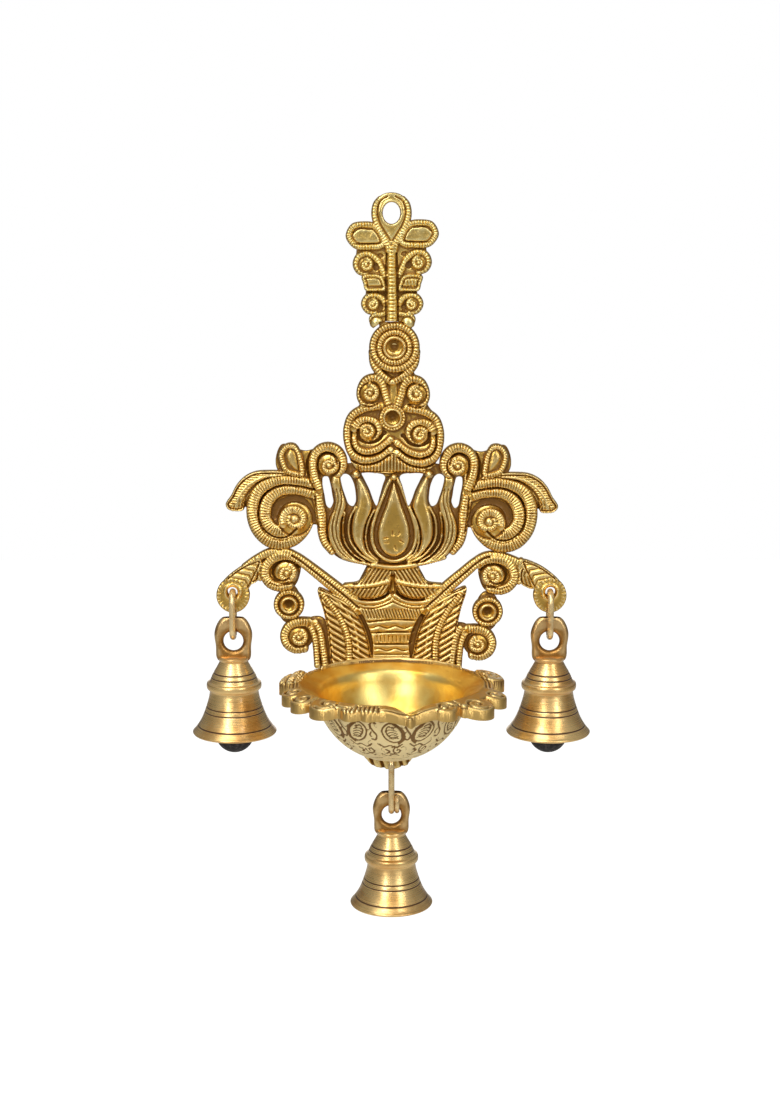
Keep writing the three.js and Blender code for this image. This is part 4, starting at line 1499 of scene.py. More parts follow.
    def arm(self, hand: Hand) -> None:
        """An arm with its under-scroll, chain roundel and pierced end.

        Args:
            hand: the hand it is on.
        """
        c = self.canvas
        pen = Pen(c, hand, (-1.6, -1.4))
        pen.web([(-38, -142), (-46, -139), (-54, -141), (-63, -147), (-60.4, -152.6), (-55, -150.6),
                 (-47, -155), (-40, -153)], 2.0)
        pen.band([(-55.4, -140.8), (-54.2, -145), (-54.4, -150)], (1.6, 1.6), RIDGE)
        pen.leaf([(-61.4, -144.8), (-57, -142.2), (-54.9, -144.6), (-54.9, -150), (-57.4, -152),
                  (-60.8, -152.6)], 0.7, 2.8, Veins((-55, -147), (-62, -147), 1.5, 0.9, 0.3), RIDGE)
        pen.band([(-38.6, -142.6), (-43.6, -140.6), (-48.6, -141.2), (-52, -144.8), (-52.3, -149),
                  (-50, -152.2), (-46.4, -153.4), (-42.6, -152.6)], (3.2, 3.2), RIBBED, True)
        pen.whorl(-43.4, -147.4, 5.0, 60)
        pen.cut([(-38.4, -145), (-40.6, -142.9), (-44.4, -142.2), (-47.8, -143.8), (-49.2, -147),
                 (-48, -149.8), (-45, -150.6), (-42.4, -149.4)], 1.1, 1.6)
        pen.cut([(-50.4, -151.6), (-46.4, -152.8), (-43.4, -151.6), (-42, -149.8)], 0.6, 0.8)
        paths = {
            Hand.LEFT: [(-13.4, -162.2), (-18.6, -157.6), (-24.4, -152.8), (-30, -148.2), (-35, -144.2),
                        (-39.4, -141), (-44, -138.8), (-50, -138.8), (-56, -141.6), (-61, -145)],
            Hand.RIGHT: [(14, -162.2), (19.4, -157.2), (25, -152), (30, -147.6), (34.6, -143.6),
                         (39, -140.8), (44, -140.4), (50, -142), (56, -144.8), (61, -147.8)],
        }
        path = smooth(paths[hand])
        c.rope(path, (6.0, 2.6), Rope(3.9, 2.8, 1.15, 0.6))
        c.groove(path[:int(len(path) * 0.62)], 0.9, 1.3)
        self.chain(Pen(c, hand, (-2.6, -3.0)))
        self.end_lobe(hand)

    @staticmethod
    def chain(pen: Pen) -> None:
        """The roundel and curl below an arm."""
        pen.canvas.plate(oval(*pen.spot(-42.6, -160.8), 5, 8.4), 2.2)
        pen.roundel(-42.6, -160.9, 6.4, 2.0, 3.0, 2.3)
        pen.canvas.plate(circle(*pen.spot(-38.8, -174.2), 6.4), 2.0)
        pen.band([(-34.6, -168.4), (-38.4, -168.4), (-42.6, -170.2), (-44.6, -174), (-43.4, -178),
                  (-40, -180), (-36.4, -179.6)], (3.0, 3.0), RIBBED, True)
        pen.whorl(-38.6, -174.8, 4.4, 60)

    @staticmethod
    def strands(pen: Pen) -> None:
        """Struck strands that run down from a chain to the panel's foot."""
        pen.web([(-35, -167.6), (-29, -166.6), (-24, -176), (-24, -187.6), (-31.6, -187.6), (-32.4, -178)],
                2.0)
        pen.band([(-36.4, -168.4), (-34, -170), (-32.2, -174), (-31.4, -180), (-31, -187)], (2.2, 2.2))
        pen.band([(-31.6, -168.6), (-29.8, -172), (-28.8, -178), (-27.6, -187)], (2.2, 2.4))

    def end_lobe(self, hand: Hand) -> None:
        """The pierced lobe at an arm's end.

        Args:
            hand: the hand it is on.
        """
        c = self.canvas
        pen = Pen(c, hand)
        ribs = Veins((-54, -142), (-68, -160), 2.7, 0.9, 0.5)
        pen.leaf([(-54, -142), (-60, -143.6), (-66, -147.4), (-70.4, -151.8), (-72.4, -156.6), (-66, -157),
                  (-60, -154.8), (-57, -150)], 0.6, 2.9, ribs, RIDGE)
        x, z = pen.spot(-65.8, -157)
        r = c.near(oval(x, z, 7.0, 7.4), 7.4)
        dx, dz = c.offsets(r, x, z)
        out, turn = np.hypot(dx, dz * 0.95), np.arctan2(dz, dx)
        rib = np.abs(np.sin(turn * 13)) * np.clip((out - 4.4) / 1.5, 0, 1)
        eye = np.hypot(dx, dz - 1.5)
        collar = np.clip(1 - np.abs(eye - 3.3) / 0.8, 0, 1)
        c.lay(r, 6.9 - out, 3.2 + 0.3 * rib + 0.6 * collar, True)

    def pot(self) -> None:
        """The pot between the arms, its side leaves and the tail."""
        c = self.canvas
        ground = [(-9.6, -143.4), (10.4, -143.4), (15, -152), (22, -156), (20, -166), (18, -189),
                  (-18, -189), (-20, -166), (-22, -156), (-14, -152)]
        c.plate(straight(ground, True), 1.6)
        c.plate(straight([(-18, -186), (18, -186), (11, -206), (-11, -206)], True), 2.6)
        tail = straight([(-12, -204), (11, -204), (9.6, -226), (7, -230.2), (0, -232.5), (-8, -230.8),
                         (-12.6, -225.4)], True)
        c.plate(tail, 3.6)
        for offset in (-8.6, -4.6, 3.4, 6.6):
            c.groove(straight([(offset + 1.8, -233), (offset - 1.8, -222)]), 1.5, 1.4)
        for hand in Hand:
            self.side_leaf(Pen(c, hand, (0.6, 0.6)))
        body = smooth([(0.6, -157), (-8, -160), (-17, -158.6), (-12.4, -164.6), (-9.4, -171), (-7.8, -177),
                       (-6.8, -187.4), (7, -187.4), (7.4, -177), (9.4, -170), (13, -164), (18, -158.6),
                       (9, -160)], True)
        c.plate(body, 3.8, sink=True)
        self.bands()
        for hand in Hand:
            self.top_leaf(Pen(c, hand, (1.2, 0.0)))
        c.groove(straight([(0.6, -149), (0.5, -155.6)]), 2.0, 2.4)

    @staticmethod
    def top_leaf(pen: Pen) -> None:
        """The leaf that hangs over the pot's shoulder, and the skirt above it."""
        above = Veins((0, -150.6), (-19, -153.6), 1.9, 1.3, -0.9)
        pen.leaf([(0, -145), (-9.8, -145), (-11.4, -148.4), (-14, -151.2), (-19.6, -152), (-12, -152.8),
                  (-5, -151.6), (0, -150)], 0.3, 2.6, above, RIDGE)
        below = Veins((-0.5, -152), (-19, -155), 1.9, 1.3, 0.9)
        pen.leaf([(-0.6, -151.4), (-8, -153), (-19.6, -153.4), (-17.4, -156.4), (-13, -158.2), (-7, -158.2),
                  (-2.8, -156.6), (-1, -154)], 0.4, 2.7, below, RIDGE)
        pen.band([(-0.8, -150.8), (-6, -152.1), (-12, -152.9), (-19.4, -152.8)], (1.6, 1.2), FINE, True)
        pen.band([(-19, -155.8), (-15.6, -158.8), (-10, -160.1), (-5, -159.6), (-1.4, -158), (0.2, -156.6)],
                 (1.8, 1.8), RIDGE, True)
        pen.cut([(-18.6, -155.4), (-15, -158), (-9.4, -158.9), (-4, -158.2), (-1.2, -155.8)], 0.8, 1.4)
        pen.cut([(-15.4, -160.8), (-11, -162.4), (-7, -162.4), (-3, -161.2), (0.6, -159.6)], 0.6, 0.8)

    @staticmethod
    def side_leaf(pen: Pen) -> None:
        """The ribbed leaf beside the pot."""
        ribs = Veins((-17.6, -188), (-29, -154), 3.4, 1.8, 1.2, folded=False)
        pen.leaf([(-30.4, -154), (-24, -156.4), (-18, -160), (-13.4, -166), (-10.6, -172), (-8.8, -180),
                  (-8.4, -188), (-24, -188), (-26, -178), (-26.8, -171), (-28.2, -164)],
                 0.5, 2.3, ribs, RIDGE)
        pen.band([(-29.2, -155.6), (-26, -159.8), (-23, -163.8), (-20.4, -168.4), (-18.5, -173.6),
                  (-17.7, -179), (-17.6, -188)], (2.0, 2.6), BEADED, True)
        pen.band([(-30, -155), (-24.6, -157.4), (-19.6, -162.4), (-16, -168), (-14.4, -174), (-13.6, -182)],
                 (0.9, 0.9), RIDGE)

    def bands(self) -> None:
        """What is struck across the pot."""
        c = self.canvas
        for x in np.arange(-11.5, 12.6, 1.25):
            c.groove(straight([(x - 0.7, -162.8), (x + 0.7, -166.6)]), 0.6, 0.7)
        for z, half, rise in ((-168.2, 9.8, 1.0), (-172.9, 8.4, 0.5), (-177.6, 7.0, 0.0), (-182, 6.8, 0.0)):
            c.groove(smooth([(-half, z), (0.5, z + rise), (half + 0.6, z + rise * 0.8)]), 0.8, 1.1)
        for z, half in ((-170.4, 9.0), (-180, 6.8)):
            wave = [(x, z + 0.5 * math.sin(x * 0.9)) for x in np.arange(-half, half, 0.5)]
            c.groove(straight(wave), 0.7, 0.7)
        for x in np.arange(-6, 6.9, 1.6):
            c.groove(straight([(x, -174), (x, -176.6)]), 0.6, 0.6)

    def holes(self) -> None:
        """Gaps of the lotus and the holes for the links."""
        c = self.canvas
        for hand in Hand:
            pen = Pen(c, hand, (0.8, 0.0))
            pen.pierce([(-28, -107.4), (-26.2, -107.2), (-25.2, -110), (-24.4, -115), (-24, -118),
                        (-25.4, -120.6), (-26.6, -119.8), (-27.6, -115), (-28.4, -110)])
            pen.pierce([(-20.8, -107.4), (-19, -106.2), (-17.2, -107), (-15.6, -110), (-14.8, -114),
                        (-14.8, -118), (-16, -119.8), (-17.6, -119), (-19, -115.6), (-20.4, -111)])
            pen.pierce([(-12.2, -106), (-3.4, -106.4), (-2.6, -107.6), (-3.6, -111), (-5, -116),
                        (-6.2, -119.6), (-7.4, -117.5), (-9, -113), (-11.2, -108.4)])
        for hole in (LEFT_HOLE, RIGHT_HOLE, TAIL_HOLE):
            c.pierce(circle(*hole, self.link_hole))
        half = TONGUE_HALF + TONGUE_GAP
        c.fill(c.under, box(-half, half, TONGUE_FOOT - TONGUE_GAP, c.high), TONGUE_THICK + TONGUE_GAP)
        for x in (-self.screw_out, self.screw_out):
            c.countersink(x, self.screw_up, self.screw_head, self.screw_land)
            c.pierce(circle(x, self.screw_up, self.screw_hole))


def revolve(profile: Outline, turns: int) -> tuple[Grid, Faces]:
    """A closed form turned about the upright axis.

    Args:
        profile: radius and height from one end of the axis to the other.
        turns: how many steps it takes round.

    Returns:
        Corners as rows of x, y and z, and faces.
    """
    p = np.asarray(profile, float)
    angle = np.linspace(0, 2 * math.pi, turns, endpoint=False)
    middle = p[1:-1]
    ring = np.stack([np.outer(middle[:, 0], np.cos(angle)), np.outer(middle[:, 0], np.sin(angle)),
                     np.repeat(middle[:, 1:], turns, 1)], 2).reshape(-1, 3)
    corners = np.vstack([ring, (0, 0, p[0, 1]), (0, 0, p[-1, 1])])
    first, last = len(ring), len(ring) + 1
    nxt = (np.arange(turns) + 1) % turns
    faces = []
    for i in range(len(middle) - 1):
        a, b = i * turns, (i + 1) * turns
        faces += [[a + k, a + nxt[k], b + nxt[k], b + k] for k in range(turns)]
    faces += [[first, int(nxt[k]), k] for k in range(turns)]
    end = (len(middle) - 1) * turns
    faces += [[last, end + k, end + int(nxt[k])] for k in range(turns)]
    return corners, faces


@dataclass
class Bowl:
    """The oil bowl: an engraved shell under a lobed flange, and the pad that holds it.

    Attributes:
        rim: the height of its rim.
        centre: where its axis stands in front of the wall.
        belly: its outer radius under the flange.
        depth: how deep it is outside.
        thick: the flange's thickness.
        opening: half the opening's width across, and half of it square to the wall.
        tip: the direction of the spout's tip, in degrees from x.
        swell, swell_half: the spout's reach as a share of the rim's radius, within these degrees.
        dip_deep, dip_half: how far it hangs below the rim, within these degrees.
        droop_from, droop_slope: where the flange starts to fall away outwards, and how steeply.
        seat: how far from the wall plane the flange ends, on the panel's face.
        pad_depth: how far the pad's foot is below the rim.
    """

    rim: float = -184.5
    centre: float = -39.0
    belly: float = 31.0
    depth: float = 31.5
    thick: float = 4.4
    opening: Point = (36.8, 34.2)
    tip: float = -79.0
    swell: float = 0.135
    swell_half: float = 9.0
    dip_deep: float = 2.4
    dip_half: float = 15.0
    droop_from: float = 35.5
    droop_slope: float = 0.2
    seat: float = 2.8
    pad_depth: float = 13.0

    def build(self) -> None:
        """Makes the shell, the flange and the pad."""
        self.shell()
        self.flange()
        self.pad()

    @staticmethod
    def keep(made: Piece, hollow: Grid, finish: Finish, node: str = "") -> None:
        """Paints and enters a piece of the bowl."""
        paint(made, "hollow", hollow)
        enter(made, finish, "root", "polished_brass", node)

    def laid(self, corners: Grid, foot: float | Grid) -> Grid:
        """Corners of a relief drawn in plan, laid level with their feet at a height."""
        return np.stack([corners[:, 0], corners[:, 2] + self.centre, corners[:, 1] + foot], 1)

    def spread(self, corners: Grid) -> Grid:
        """Widens what is turned, near the rim, to the oval opening and its pointed spout.

        Args:
            corners: rows of x, y and z about the axis, with z 0 at the rim.

        Returns:
            The moved rows.
        """
        share = np.clip(1 + corners[:, 2] / 5, 0, 1)
        share = share * share * (3 - 2 * share)
        spout = self.swell * np.clip(1 - self.off_tip(corners) / self.swell_half, 0, 1)
        made = corners.copy()
        made[:, 0] *= 1 + (self.opening[0] / self.opening[1] - 1) * share
        made[:, :2] *= 1 + (spout * share ** 2)[:, None]
        return made

    def off_tip(self, corners: Grid) -> Grid:
        """How many degrees each corner stands from the spout's tip."""
        off = np.degrees(np.arctan2(corners[:, 1], corners[:, 0])) - self.tip
        return np.abs((off + 180) % 360 - 180)

    def dip(self, corners: Grid) -> Grid:
        """How far the spout hangs below the rim at each corner."""
        return self.dip_deep * np.clip(1 - self.off_tip(corners) / self.dip_half, 0, 1) ** 1.5

    def droop(self, corners: Grid) -> Grid:
        """How far the flange falls away outwards at each corner."""
        return self.droop_slope * np.clip(np.hypot(*corners[:, :2].T) - self.droop_from, 0, None)

    def engraving(self) -> Canvas:
        """The cuts on the belly, unrolled.

        Returns:
            Their canvas, whose x runs round the belly and z down it from the rim.
        """
        half = math.pi * self.belly
        c = Canvas(-half, half, -47, 0, 0.25)
        count = 13
        pitch = 2 * half / count
        for i in range(count):
            x = (i + 0.5 - count / 2) * pitch
            self.paisley(c, x, -13.4, 1 if i % 2 else -1)
            for line, width in (
                ([(-6.6, -5.2), (-4.6, -8), (-2, -7.2), (0, -5.4), (2, -7.2), (4.6, -8), (6.6, -5.2)], 0.9),
                ([(8.4, -8.8), (6.8, -8.2), (5.9, -10), (7, -12.4), (8.4, -14.6), (7.6, -17),
                  (6, -16.6)], 1.0),
                ([(6.2, -13), (5.4, -14.4), (6, -15.4)], 0.8),
                ([(-6, -19.4), (-3.4, -21.2), (-0.6, -20.2), (2.2, -21.6), (5.2, -19.6)], 0.9),
                ([(-5.8, -26.6), (-2.2, -28.4), (2, -26.8), (5, -28.4)], 0.8),
                ([(-3, -23), (-1, -24.6), (-2.6, -26)], 1.3),
            ):
                c.groove(smooth([(x + dx, z) for dx, z in line]), width, 0.5)
            c.groove(spiral(x + 3.4, -24, (2.9, 0.5), 90 + 40 * (i % 3), 420), 1.0, 0.5)
        chance = np.random.default_rng(4)
        for row in (-9.6, -19.4, -22.4, -25.4, -28.6):
            for x in np.arange(-half + 3, half - 3, 5.6):
                at = (x + chance.uniform(-1.2, 1.2), row + chance.uniform(-0.9, 0.9))
                turn, reach = chance.uniform(0, 360), chance.uniform(1.2, 2.4)
                c.groove(spiral(*at, (reach, reach * 0.6), turn, chance.uniform(90, 210)), 0.6, 0.3)
        for z, start in ((-31, 0), (-33.6, 9), (-36.4, 4), (-39.4, 12)):
            for x in np.arange(-half + start, half - 15, 19):
                c.groove(smooth([(x, z), (x + 7, z - 1.1), (x + 15, z + 0.4)]), 0.9, 0.5)
        return c

    @staticmethod
    def paisley(c: Canvas, x: float, z: float, side: int) -> None:
        """A lined leaf inside an oval with a thick crescent on one side.

        Args:
            c: the canvas.
            x, z: its centre.
            side: the side that it leans to, 1 or -1.
        """
        def cut(points: Outline, width: float, closed: bool = False) -> None:
            """A groove through points about the centre, leaning to the side."""
            leant = [(x + side * (px + pz * 0.35), z + pz) for px, pz in points]
            c.groove(smooth(leant, closed), width, 0.55)

        cut([(-0.6, 4.8), (-3.4, 3.2), (-4.4, -0.2), (-3, -3.8), (0.6, -4.9), (3.6, -2.6), (3.4, 1.8)],
            0.9, True)
        cut([(-2.6, 4.4), (-5, 1), (-4.4, -3.2), (-1.6, -5.6)], 1.6)
        cut([(-1.8, 2.4), (0.4, 3.2), (2.2, 0.6), (0.6, -2.8), (-1.8, -2.2)], 0.7)
        for at in (1.6, 0.3, -1.0, -2.2):
            cut([(-2.4, at - 0.6), (0, at + 0.3), (1.9, at - 0.5)], 0.5)

    def shell(self) -> None:
        """The turned shell, engraved outside."""
        turns = 440
        angles = np.radians(np.linspace(0, 83, 112))
        outer = [(self.belly * math.sin(a), -self.depth * math.cos(a)) for a in angles]
        inner = smooth([(34.2, -0.15), (31.8, -1.7), (29.8, -3.2), (28.8, -5.6), (28, -9), (26, -14),
                        (22.6, -19.2), (18, -23.6), (12, -27.2), (6, -29.1), (0, -29.5)], spacing=0.8)
        profile = outer + [(33.4, -3.6), (34.9, -2.6), (34.9, -0.5)] + [tuple(q) for q in inner]
        corners, faces = revolve(profile, turns)
        outside = np.zeros(len(corners))
        outside[:(len(outer) - 1) * turns] = 1
        outside[-2] = 1
        pattern = self.engraving()
        turn = np.arctan2(corners[:, 0], -corners[:, 1])
        down = np.arctan2(np.hypot(corners[:, 0], corners[:, 1]), -corners[:, 2])
        cut = -pattern.sample(pattern.top, turn * self.belly, (down - math.pi / 2) * self.belly) * outside
        reach = np.linalg.norm(corners, axis=1)[:, None]
        corners = self.spread(corners * (1 - cut[:, None] / reach))
        corners[:, 2] -= self.dip(corners) * np.clip(1 + corners[:, 2] / 6, 0, 1)
        made = make_mesh("diya_bowl_shell", corners + (0, self.centre, self.rim), faces)
        paint(made, "satin", outside)
        self.keep(made, 0.22 + np.clip(cut / 0.4, 0, 1) * 0.75, PolishedBrass(), "diya_bowl")

    def flange(self) -> None:
        """The lobed flange round the rim."""
        c = Canvas(-48, 49, -42, 38, 0.26, self.thick - 0.2)
        high = self.thick
        c.plate(oval(0, -0.4, 41.0, 38.8, 200), high, 0.9)
        lobes = ((-38.2, -10.4, 5.2, 6.2), (-34, -20.4, 5.4, 5.2), (-24.6, -28.4, 7.2, 6.4),
                 (-15, -33.6, 4.6, 4.4), (-8.2, -35.4, 4.2, 3.8), (20.4, -32.4, 5, 4.6),
                 (32.6, -26, 7.2, 6.2), (40, -12.2, 5.4, 5.6))
        for x, y, across, along in lobes:
            c.plate(oval(x, y, across, along), high, 0.6)
        spout = [(-2, -32), (1, -36), (4, -37.2), (7, -39.8), (10.4, -37), (13.4, -35.8), (16, -31)]
        c.plate(smooth(spout, True), high)
        for boss in ([(-35, 18), (-37.4, 22), (-41.6, 18.6), (-45, 9.4), (-44.6, 3), (-40, 0.4), (-36, 2),
                      (-34, 10)],
                     [(35, 21), (39, 23), (43, 20.4), (45.8, 12), (44.4, 7.4), (40, 6), (36, 9), (34, 15)]):
            c.plate(smooth(boss, True), high + 1, 0.9)
        self.struck(c)
        c.rope(spiral(0, 0, (35.4, 35.4), 38, 104), (2.2, 2.2), Rope(high + 1.3, high + 0.1, depth=0.0))
        rim = np.insert(spiral(0, 0, (self.opening[1] - 0.25,) * 2, 0, 360), 2, 0, axis=1)
        rim = self.spread(rim)[:, :2]
        c.pierce(np.vstack([rim, rim[:1]]))
        c.pierce(box(-60, 60, -self.centre - self.seat, 60))
        c.weathered(5, 0.07)
        corners, faces = c.surface(bevel=0.9)
        drop = self.dip(corners[:, [0, 2]]) + self.droop(corners[:, [0, 2]])
        placed = self.laid(corners, self.rim - high - drop)
        made = make_mesh("diya_bowl_flange", placed, [f[::-1] for f in faces])
        creased(made, CAST_CREASE)
        at = places(made)
        depth = c.sample(c.hollows(), at[:, 0], at[:, 1] - self.centre)
        plan = at - (0, self.centre, 0)
        up = np.clip((at[:, 2] - self.rim + self.dip(plan) + self.droop(plan) + 1.4) / 0.8, 0, 1)
        self.keep(made, (depth * 1.3 + 0.04) * up + 0.3 * (1 - up), WornBrass())

    def struck(self, c: Canvas) -> None:
        """What is struck on the lobes and bosses of the flange.

        Args:
            c: the flange's canvas.
        """
        for x, y, reach, start, sweep in ((-24.6, -28.6, 5.4, 200, 460), (-34.4, -20.4, 3.8, 150, 380),
                                          (-38.6, -10.4, 3.8, 120, 380), (20.6, -32.6, 3.4, 20, 360),
                                          (33, -26.2, 5.0, -20, -420), (40.4, -12.2, 3.6, 0, -360)):
            c.groove(spiral(x, y, (reach, 0.8), start, sweep), 1.2, 1.0)
        for x in np.arange(-18.6, -4, 1.9):
            c.groove(straight([(x, -39.8), (x * 0.9, -34.6)]), 0.9, 0.9)
        for x, y in ((24.6, -28.4), (38, -19.6), (-29.4, -23), (-12, -31.2)):
            c.groove(straight([(x * 0.97, y * 0.97), (x * 1.16, y * 1.16)]), 1.1, 1.0)
        for step in range(6):
            z = 3.4 + step * 2.8
            c.groove(smooth([(-45.6, z - 1), (-41, z + 0.8), (-36, z - 0.4)]), 1.1, 1.0)
        for x in (-42.6, -39.6, -37):
            c.groove(smooth([(x, 1), (x + 0.8, 9), (x + 2.4, 20)]), 0.8, 0.7)
        for turn in range(0, 360, 60):
            x, y = 40.2 + 2.4 * math.cos(math.radians(turn)), 14.6 + 3 * math.sin(math.radians(turn))
            c.groove(spiral(x, y, (1.6, 1.3), turn - 100, 200), 0.8, 0.8)
        c.ball(40.2, 14.6, 1.3, self.thick + 1.3, self.thick + 0.5)
        c.ball(27.9, -30.2, 1.6, self.thick + 0.6, self.thick - 0.8)
        for reach in (38.0, 39.4):
            c.groove(spiral(0, -0.6, (reach, reach), -52, -80), 0.6, 0.6)
            for start, sweep in ((-8, 44), (188, -44)):
                c.groove(spiral(0, -0.6, (reach, reach), start, sweep), 0.8, 0.7)

    def pad(self) -> None:
        """The block behind the shell that sits on the panel."""
        c = Canvas(-13, 13, 27, 38, 0.5)
        back = -self.centre - self.seat
        c.plate(straight([(-12, 29.2), (12, 29.2), (12, back), (-12, back)], True), 9)
        corners, faces = c.surface()
        placed = self.laid(corners, self.rim - self.pad_depth)
        made = make_mesh("diya_bowl_pad", placed, [f[::-1] for f in faces])
        self.keep(made, np.full(len(made.data.vertices), 0.3), WornBrass())


class Plane(Enum):
    """The upright plane that a wire is bent in."""

    SQUARE = "square to the wall"
    ALONG = "along the wall"


@dataclass
class Bell:
    """One bell on its wire link, with its clapper.

    Attributes:
        name: left, right or bottom.
        x: its axis across.
        hole: the height of the hole that its link hangs from.
        link: the length of the link between its two bends.
        ball, ball_drop: the radius of the clapper's ball, and its centre below the lug's top.
        y: where it stands in front of the wall.
        wire, bend: the radii of the link's wire and of its bends.
        hole_drop: the lug hole's centre below the top of the lug.
        hang: the lug hole's centre below the middle of the link's lowest wire.
        pivot_drop: the clapper's pivot below the top of the lug.
        staple, staple_wire: the radii of the staple's bend and of its wire.
        eye, rod: the radii of the rod's eye and of the rod and the eye's wire.
        lapped: whether the link's cut end shows beside its bend.
    """

    name: str
    x: float
    hole: float
    link: float
    ball: float
    ball_drop: float
    y: float = -1.8
    wire: float = 1.3
    bend: float = 4.6
    hole_drop: float = 11.5
    hang: float = 1.7
    pivot_drop: float = 27.9
    staple: float = 2.2
    staple_wire: float = 0.8
    eye: float = 1.9
    rod: float = 0.7
    lapped: bool = False

    @property
    def lug(self) -> float:
        """The height of the lug hole's centre."""
        return self.hole - self.link - self.hang

    def build(self) -> None:
        """Makes the link, the bell and the clapper."""
        self.link_piece()
        self.bell_piece()
        self.lug_piece()
        self.clapper()

    def at(self, corners: Grid, z: float) -> Grid:
        """Corners moved to the bell's axis, with their own zero at height z."""
        return corners + (self.x, self.y, z)

    def keep(self, made: Piece, body: str, node: str, finish: Finish, slot: str) -> None:
        """Enters a piece with the body and the node of this bell that it belongs to."""
        enter(made, finish, f"{self.name}_{body}", slot, node and f"{self.name}_{node}")

    def tube(self, name: str, path: Line, radius: float, closed: bool, plane: Plane = Plane.SQUARE) -> Piece:
        """A wire bent in an upright plane.

        Args:
            name: the object's name.
            path: rows of the place along the plane and z.
            radius: the wire's radius.
            closed: whether the path returns to its start.
            plane: the plane.

        Returns:
            Its object.
        """
        sides = 20
        ahead = np.roll(path, -1, 0) - np.roll(path, 1, 0)
        if not closed:
            ahead[0], ahead[-1] = path[1] - path[0], path[-1] - path[-2]
        ahead /= np.linalg.norm(ahead, axis=1)[:, None]
        angle = np.linspace(0, 2 * math.pi, sides, endpoint=False)
        out = radius * np.cos(angle)
        within = path[:, :1] + ahead[:, 1:] * out
        z = path[:, 1:] - ahead[:, :1] * out
        across = np.repeat(radius * np.sin(angle)[None, :], len(path), 0)
        level = (across, within) if plane is Plane.SQUARE else (within, across)
        rings = np.stack([*level, z], 2).reshape(-1, 3)
        count = len(path)
        faces = [[i * sides + k, i * sides + (k + 1) % sides, (i + 1) % count * sides + (k + 1) % sides,
                  (i + 1) % count * sides + k] for i in range(count if closed else count - 1)
                 for k in range(sides)]
        if not closed:
            faces += [list(range(sides))[::-1], [(count - 1) * sides + k for k in range(sides)]]
        return make_mesh(name, self.at(rings, 0), faces)

    def link_piece(self) -> None:
        """The wire link."""
        turn = np.radians(np.linspace(0, 180, 24))
        top = np.stack([self.bend * np.cos(turn), self.hole - self.bend + self.bend * np.sin(turn)], 1)
        low = self.hole - self.link + self.bend
        bottom = np.stack([-self.bend * np.cos(turn), low - self.bend * np.sin(turn)], 1)
        made = self.tube(f"{self.name}_link_wire", np.vstack([top, bottom]), self.wire, True)
        self.keep(made, "link", "link", WireBrass(), "brass_wire")
        if self.lapped:
            tail = np.vstack([[(-self.bend, low + 3.4)], bottom[:15]])
            made = self.tube(f"{self.name}_link_tail", tail, self.wire * 0.8, False)
            made.data.transform(Matrix.Translation((self.wire * 1.8 * MM, 0, 0)))
            self.keep(made, "link", "", WireBrass(), "brass_wire")

    def bell_piece(self) -> None:
        """The turned bell, with its rings and grooves."""
        cuts = (25.0, 27.0, 39.5, 41.5, 47.6)
        outer = smooth([(5.6, 18), (6.4, 18.7), (6.2, 19.4), (5.9, 20), (6.8, 22), (8.4, 24.8), (9.5, 27),
                        (10.2, 28.7), (11.2, 29.2), (11.5, 30.5), (11.2, 31.8), (10.3, 32.3), (10.5, 35),
                        (11.7, 39.3), (13.9, 45), (16.6, 49.2), (17.6, 50.4), (17.3, 51)], spacing=0.16)
        gap = np.min(np.abs(outer[:, 1:] - np.asarray(cuts)), 1)
        cut = np.clip(1 - (gap / 0.34) ** 2, 0, 1)
        outer[:, 0] -= 0.28 * cut
        inner = [(15.8, 51), (12.6, 45), (10.4, 40.4), (9.0, 34), (8.2, 28.6), (5.4, 22.9), (0, 22.9)]
        turned = [(0, 18)] + [tuple(q) for q in outer] + inner
        profile = [(r, self.hole_drop - drop) for r, drop in reversed(turned)]
        turns = 128
        corners, faces = revolve(profile, turns)
        made = make_mesh(f"{self.name}_bell_body", self.at(corners, self.lug), faces)
        creased(made, 50)
        tint = [0.3] * len(inner) + list(reversed(0.2 + 0.8 * cut)) + [0.3]
        paint(made, "hollow", np.append(np.repeat(tint[1:-1], turns), (0.3, 0.3)))
        self.keep(made, "bell", "bell", TurnedBrass(), "turned_brass")

    def lug_piece(self) -> None:
        """The pierced lug over the bell."""
        c = Canvas(-9, 9, -9, 10, 0.25)
        c.plate(smooth([(0, 11.2), (-5, 9.6), (-7.8, 4), (-7.4, -2), (-6.4, -8.4), (6.4, -8.4), (7.4, -2),
                        (7.8, 4), (5, 9.6)], True), 1.9, 1.6)
        c.pierce(circle(0, 0, 4.1))
        c.weathered(7, 0.08)
        fall = np.clip(1 - c.edge / 1.8, 0, 1)
        c.top = 1.9 * np.sqrt(1 - fall ** 2)
        corners, faces = c.surface(Back.MIRRORED, 0.01)
        placed = corners * TOWARDS_VIEWER
        made = make_mesh(f"{self.name}_bell_lug", self.at(placed, self.lug), faces)
        away = np.hypot(placed[:, 0], placed[:, 2])
        foot = np.clip((-placed[:, 2] - 4) / 4, 0, 1)
        spots = 0.07 * c.sample(c.blotches(9, 1.2), placed[:, 0], placed[:, 2])
        # Painted darker round the hole and paler out towards the rim, a painted highlight on the lug's
        # edges, and darker towards its foot; the spots are stains.
        paint(made, "hollow", 0.4 - 0.36 * np.clip((away - 4.2) / 3, 0, 1) + 0.3 * foot + spots)
        self.keep(made, "bell", "", StainedBrass(), "turned_brass")

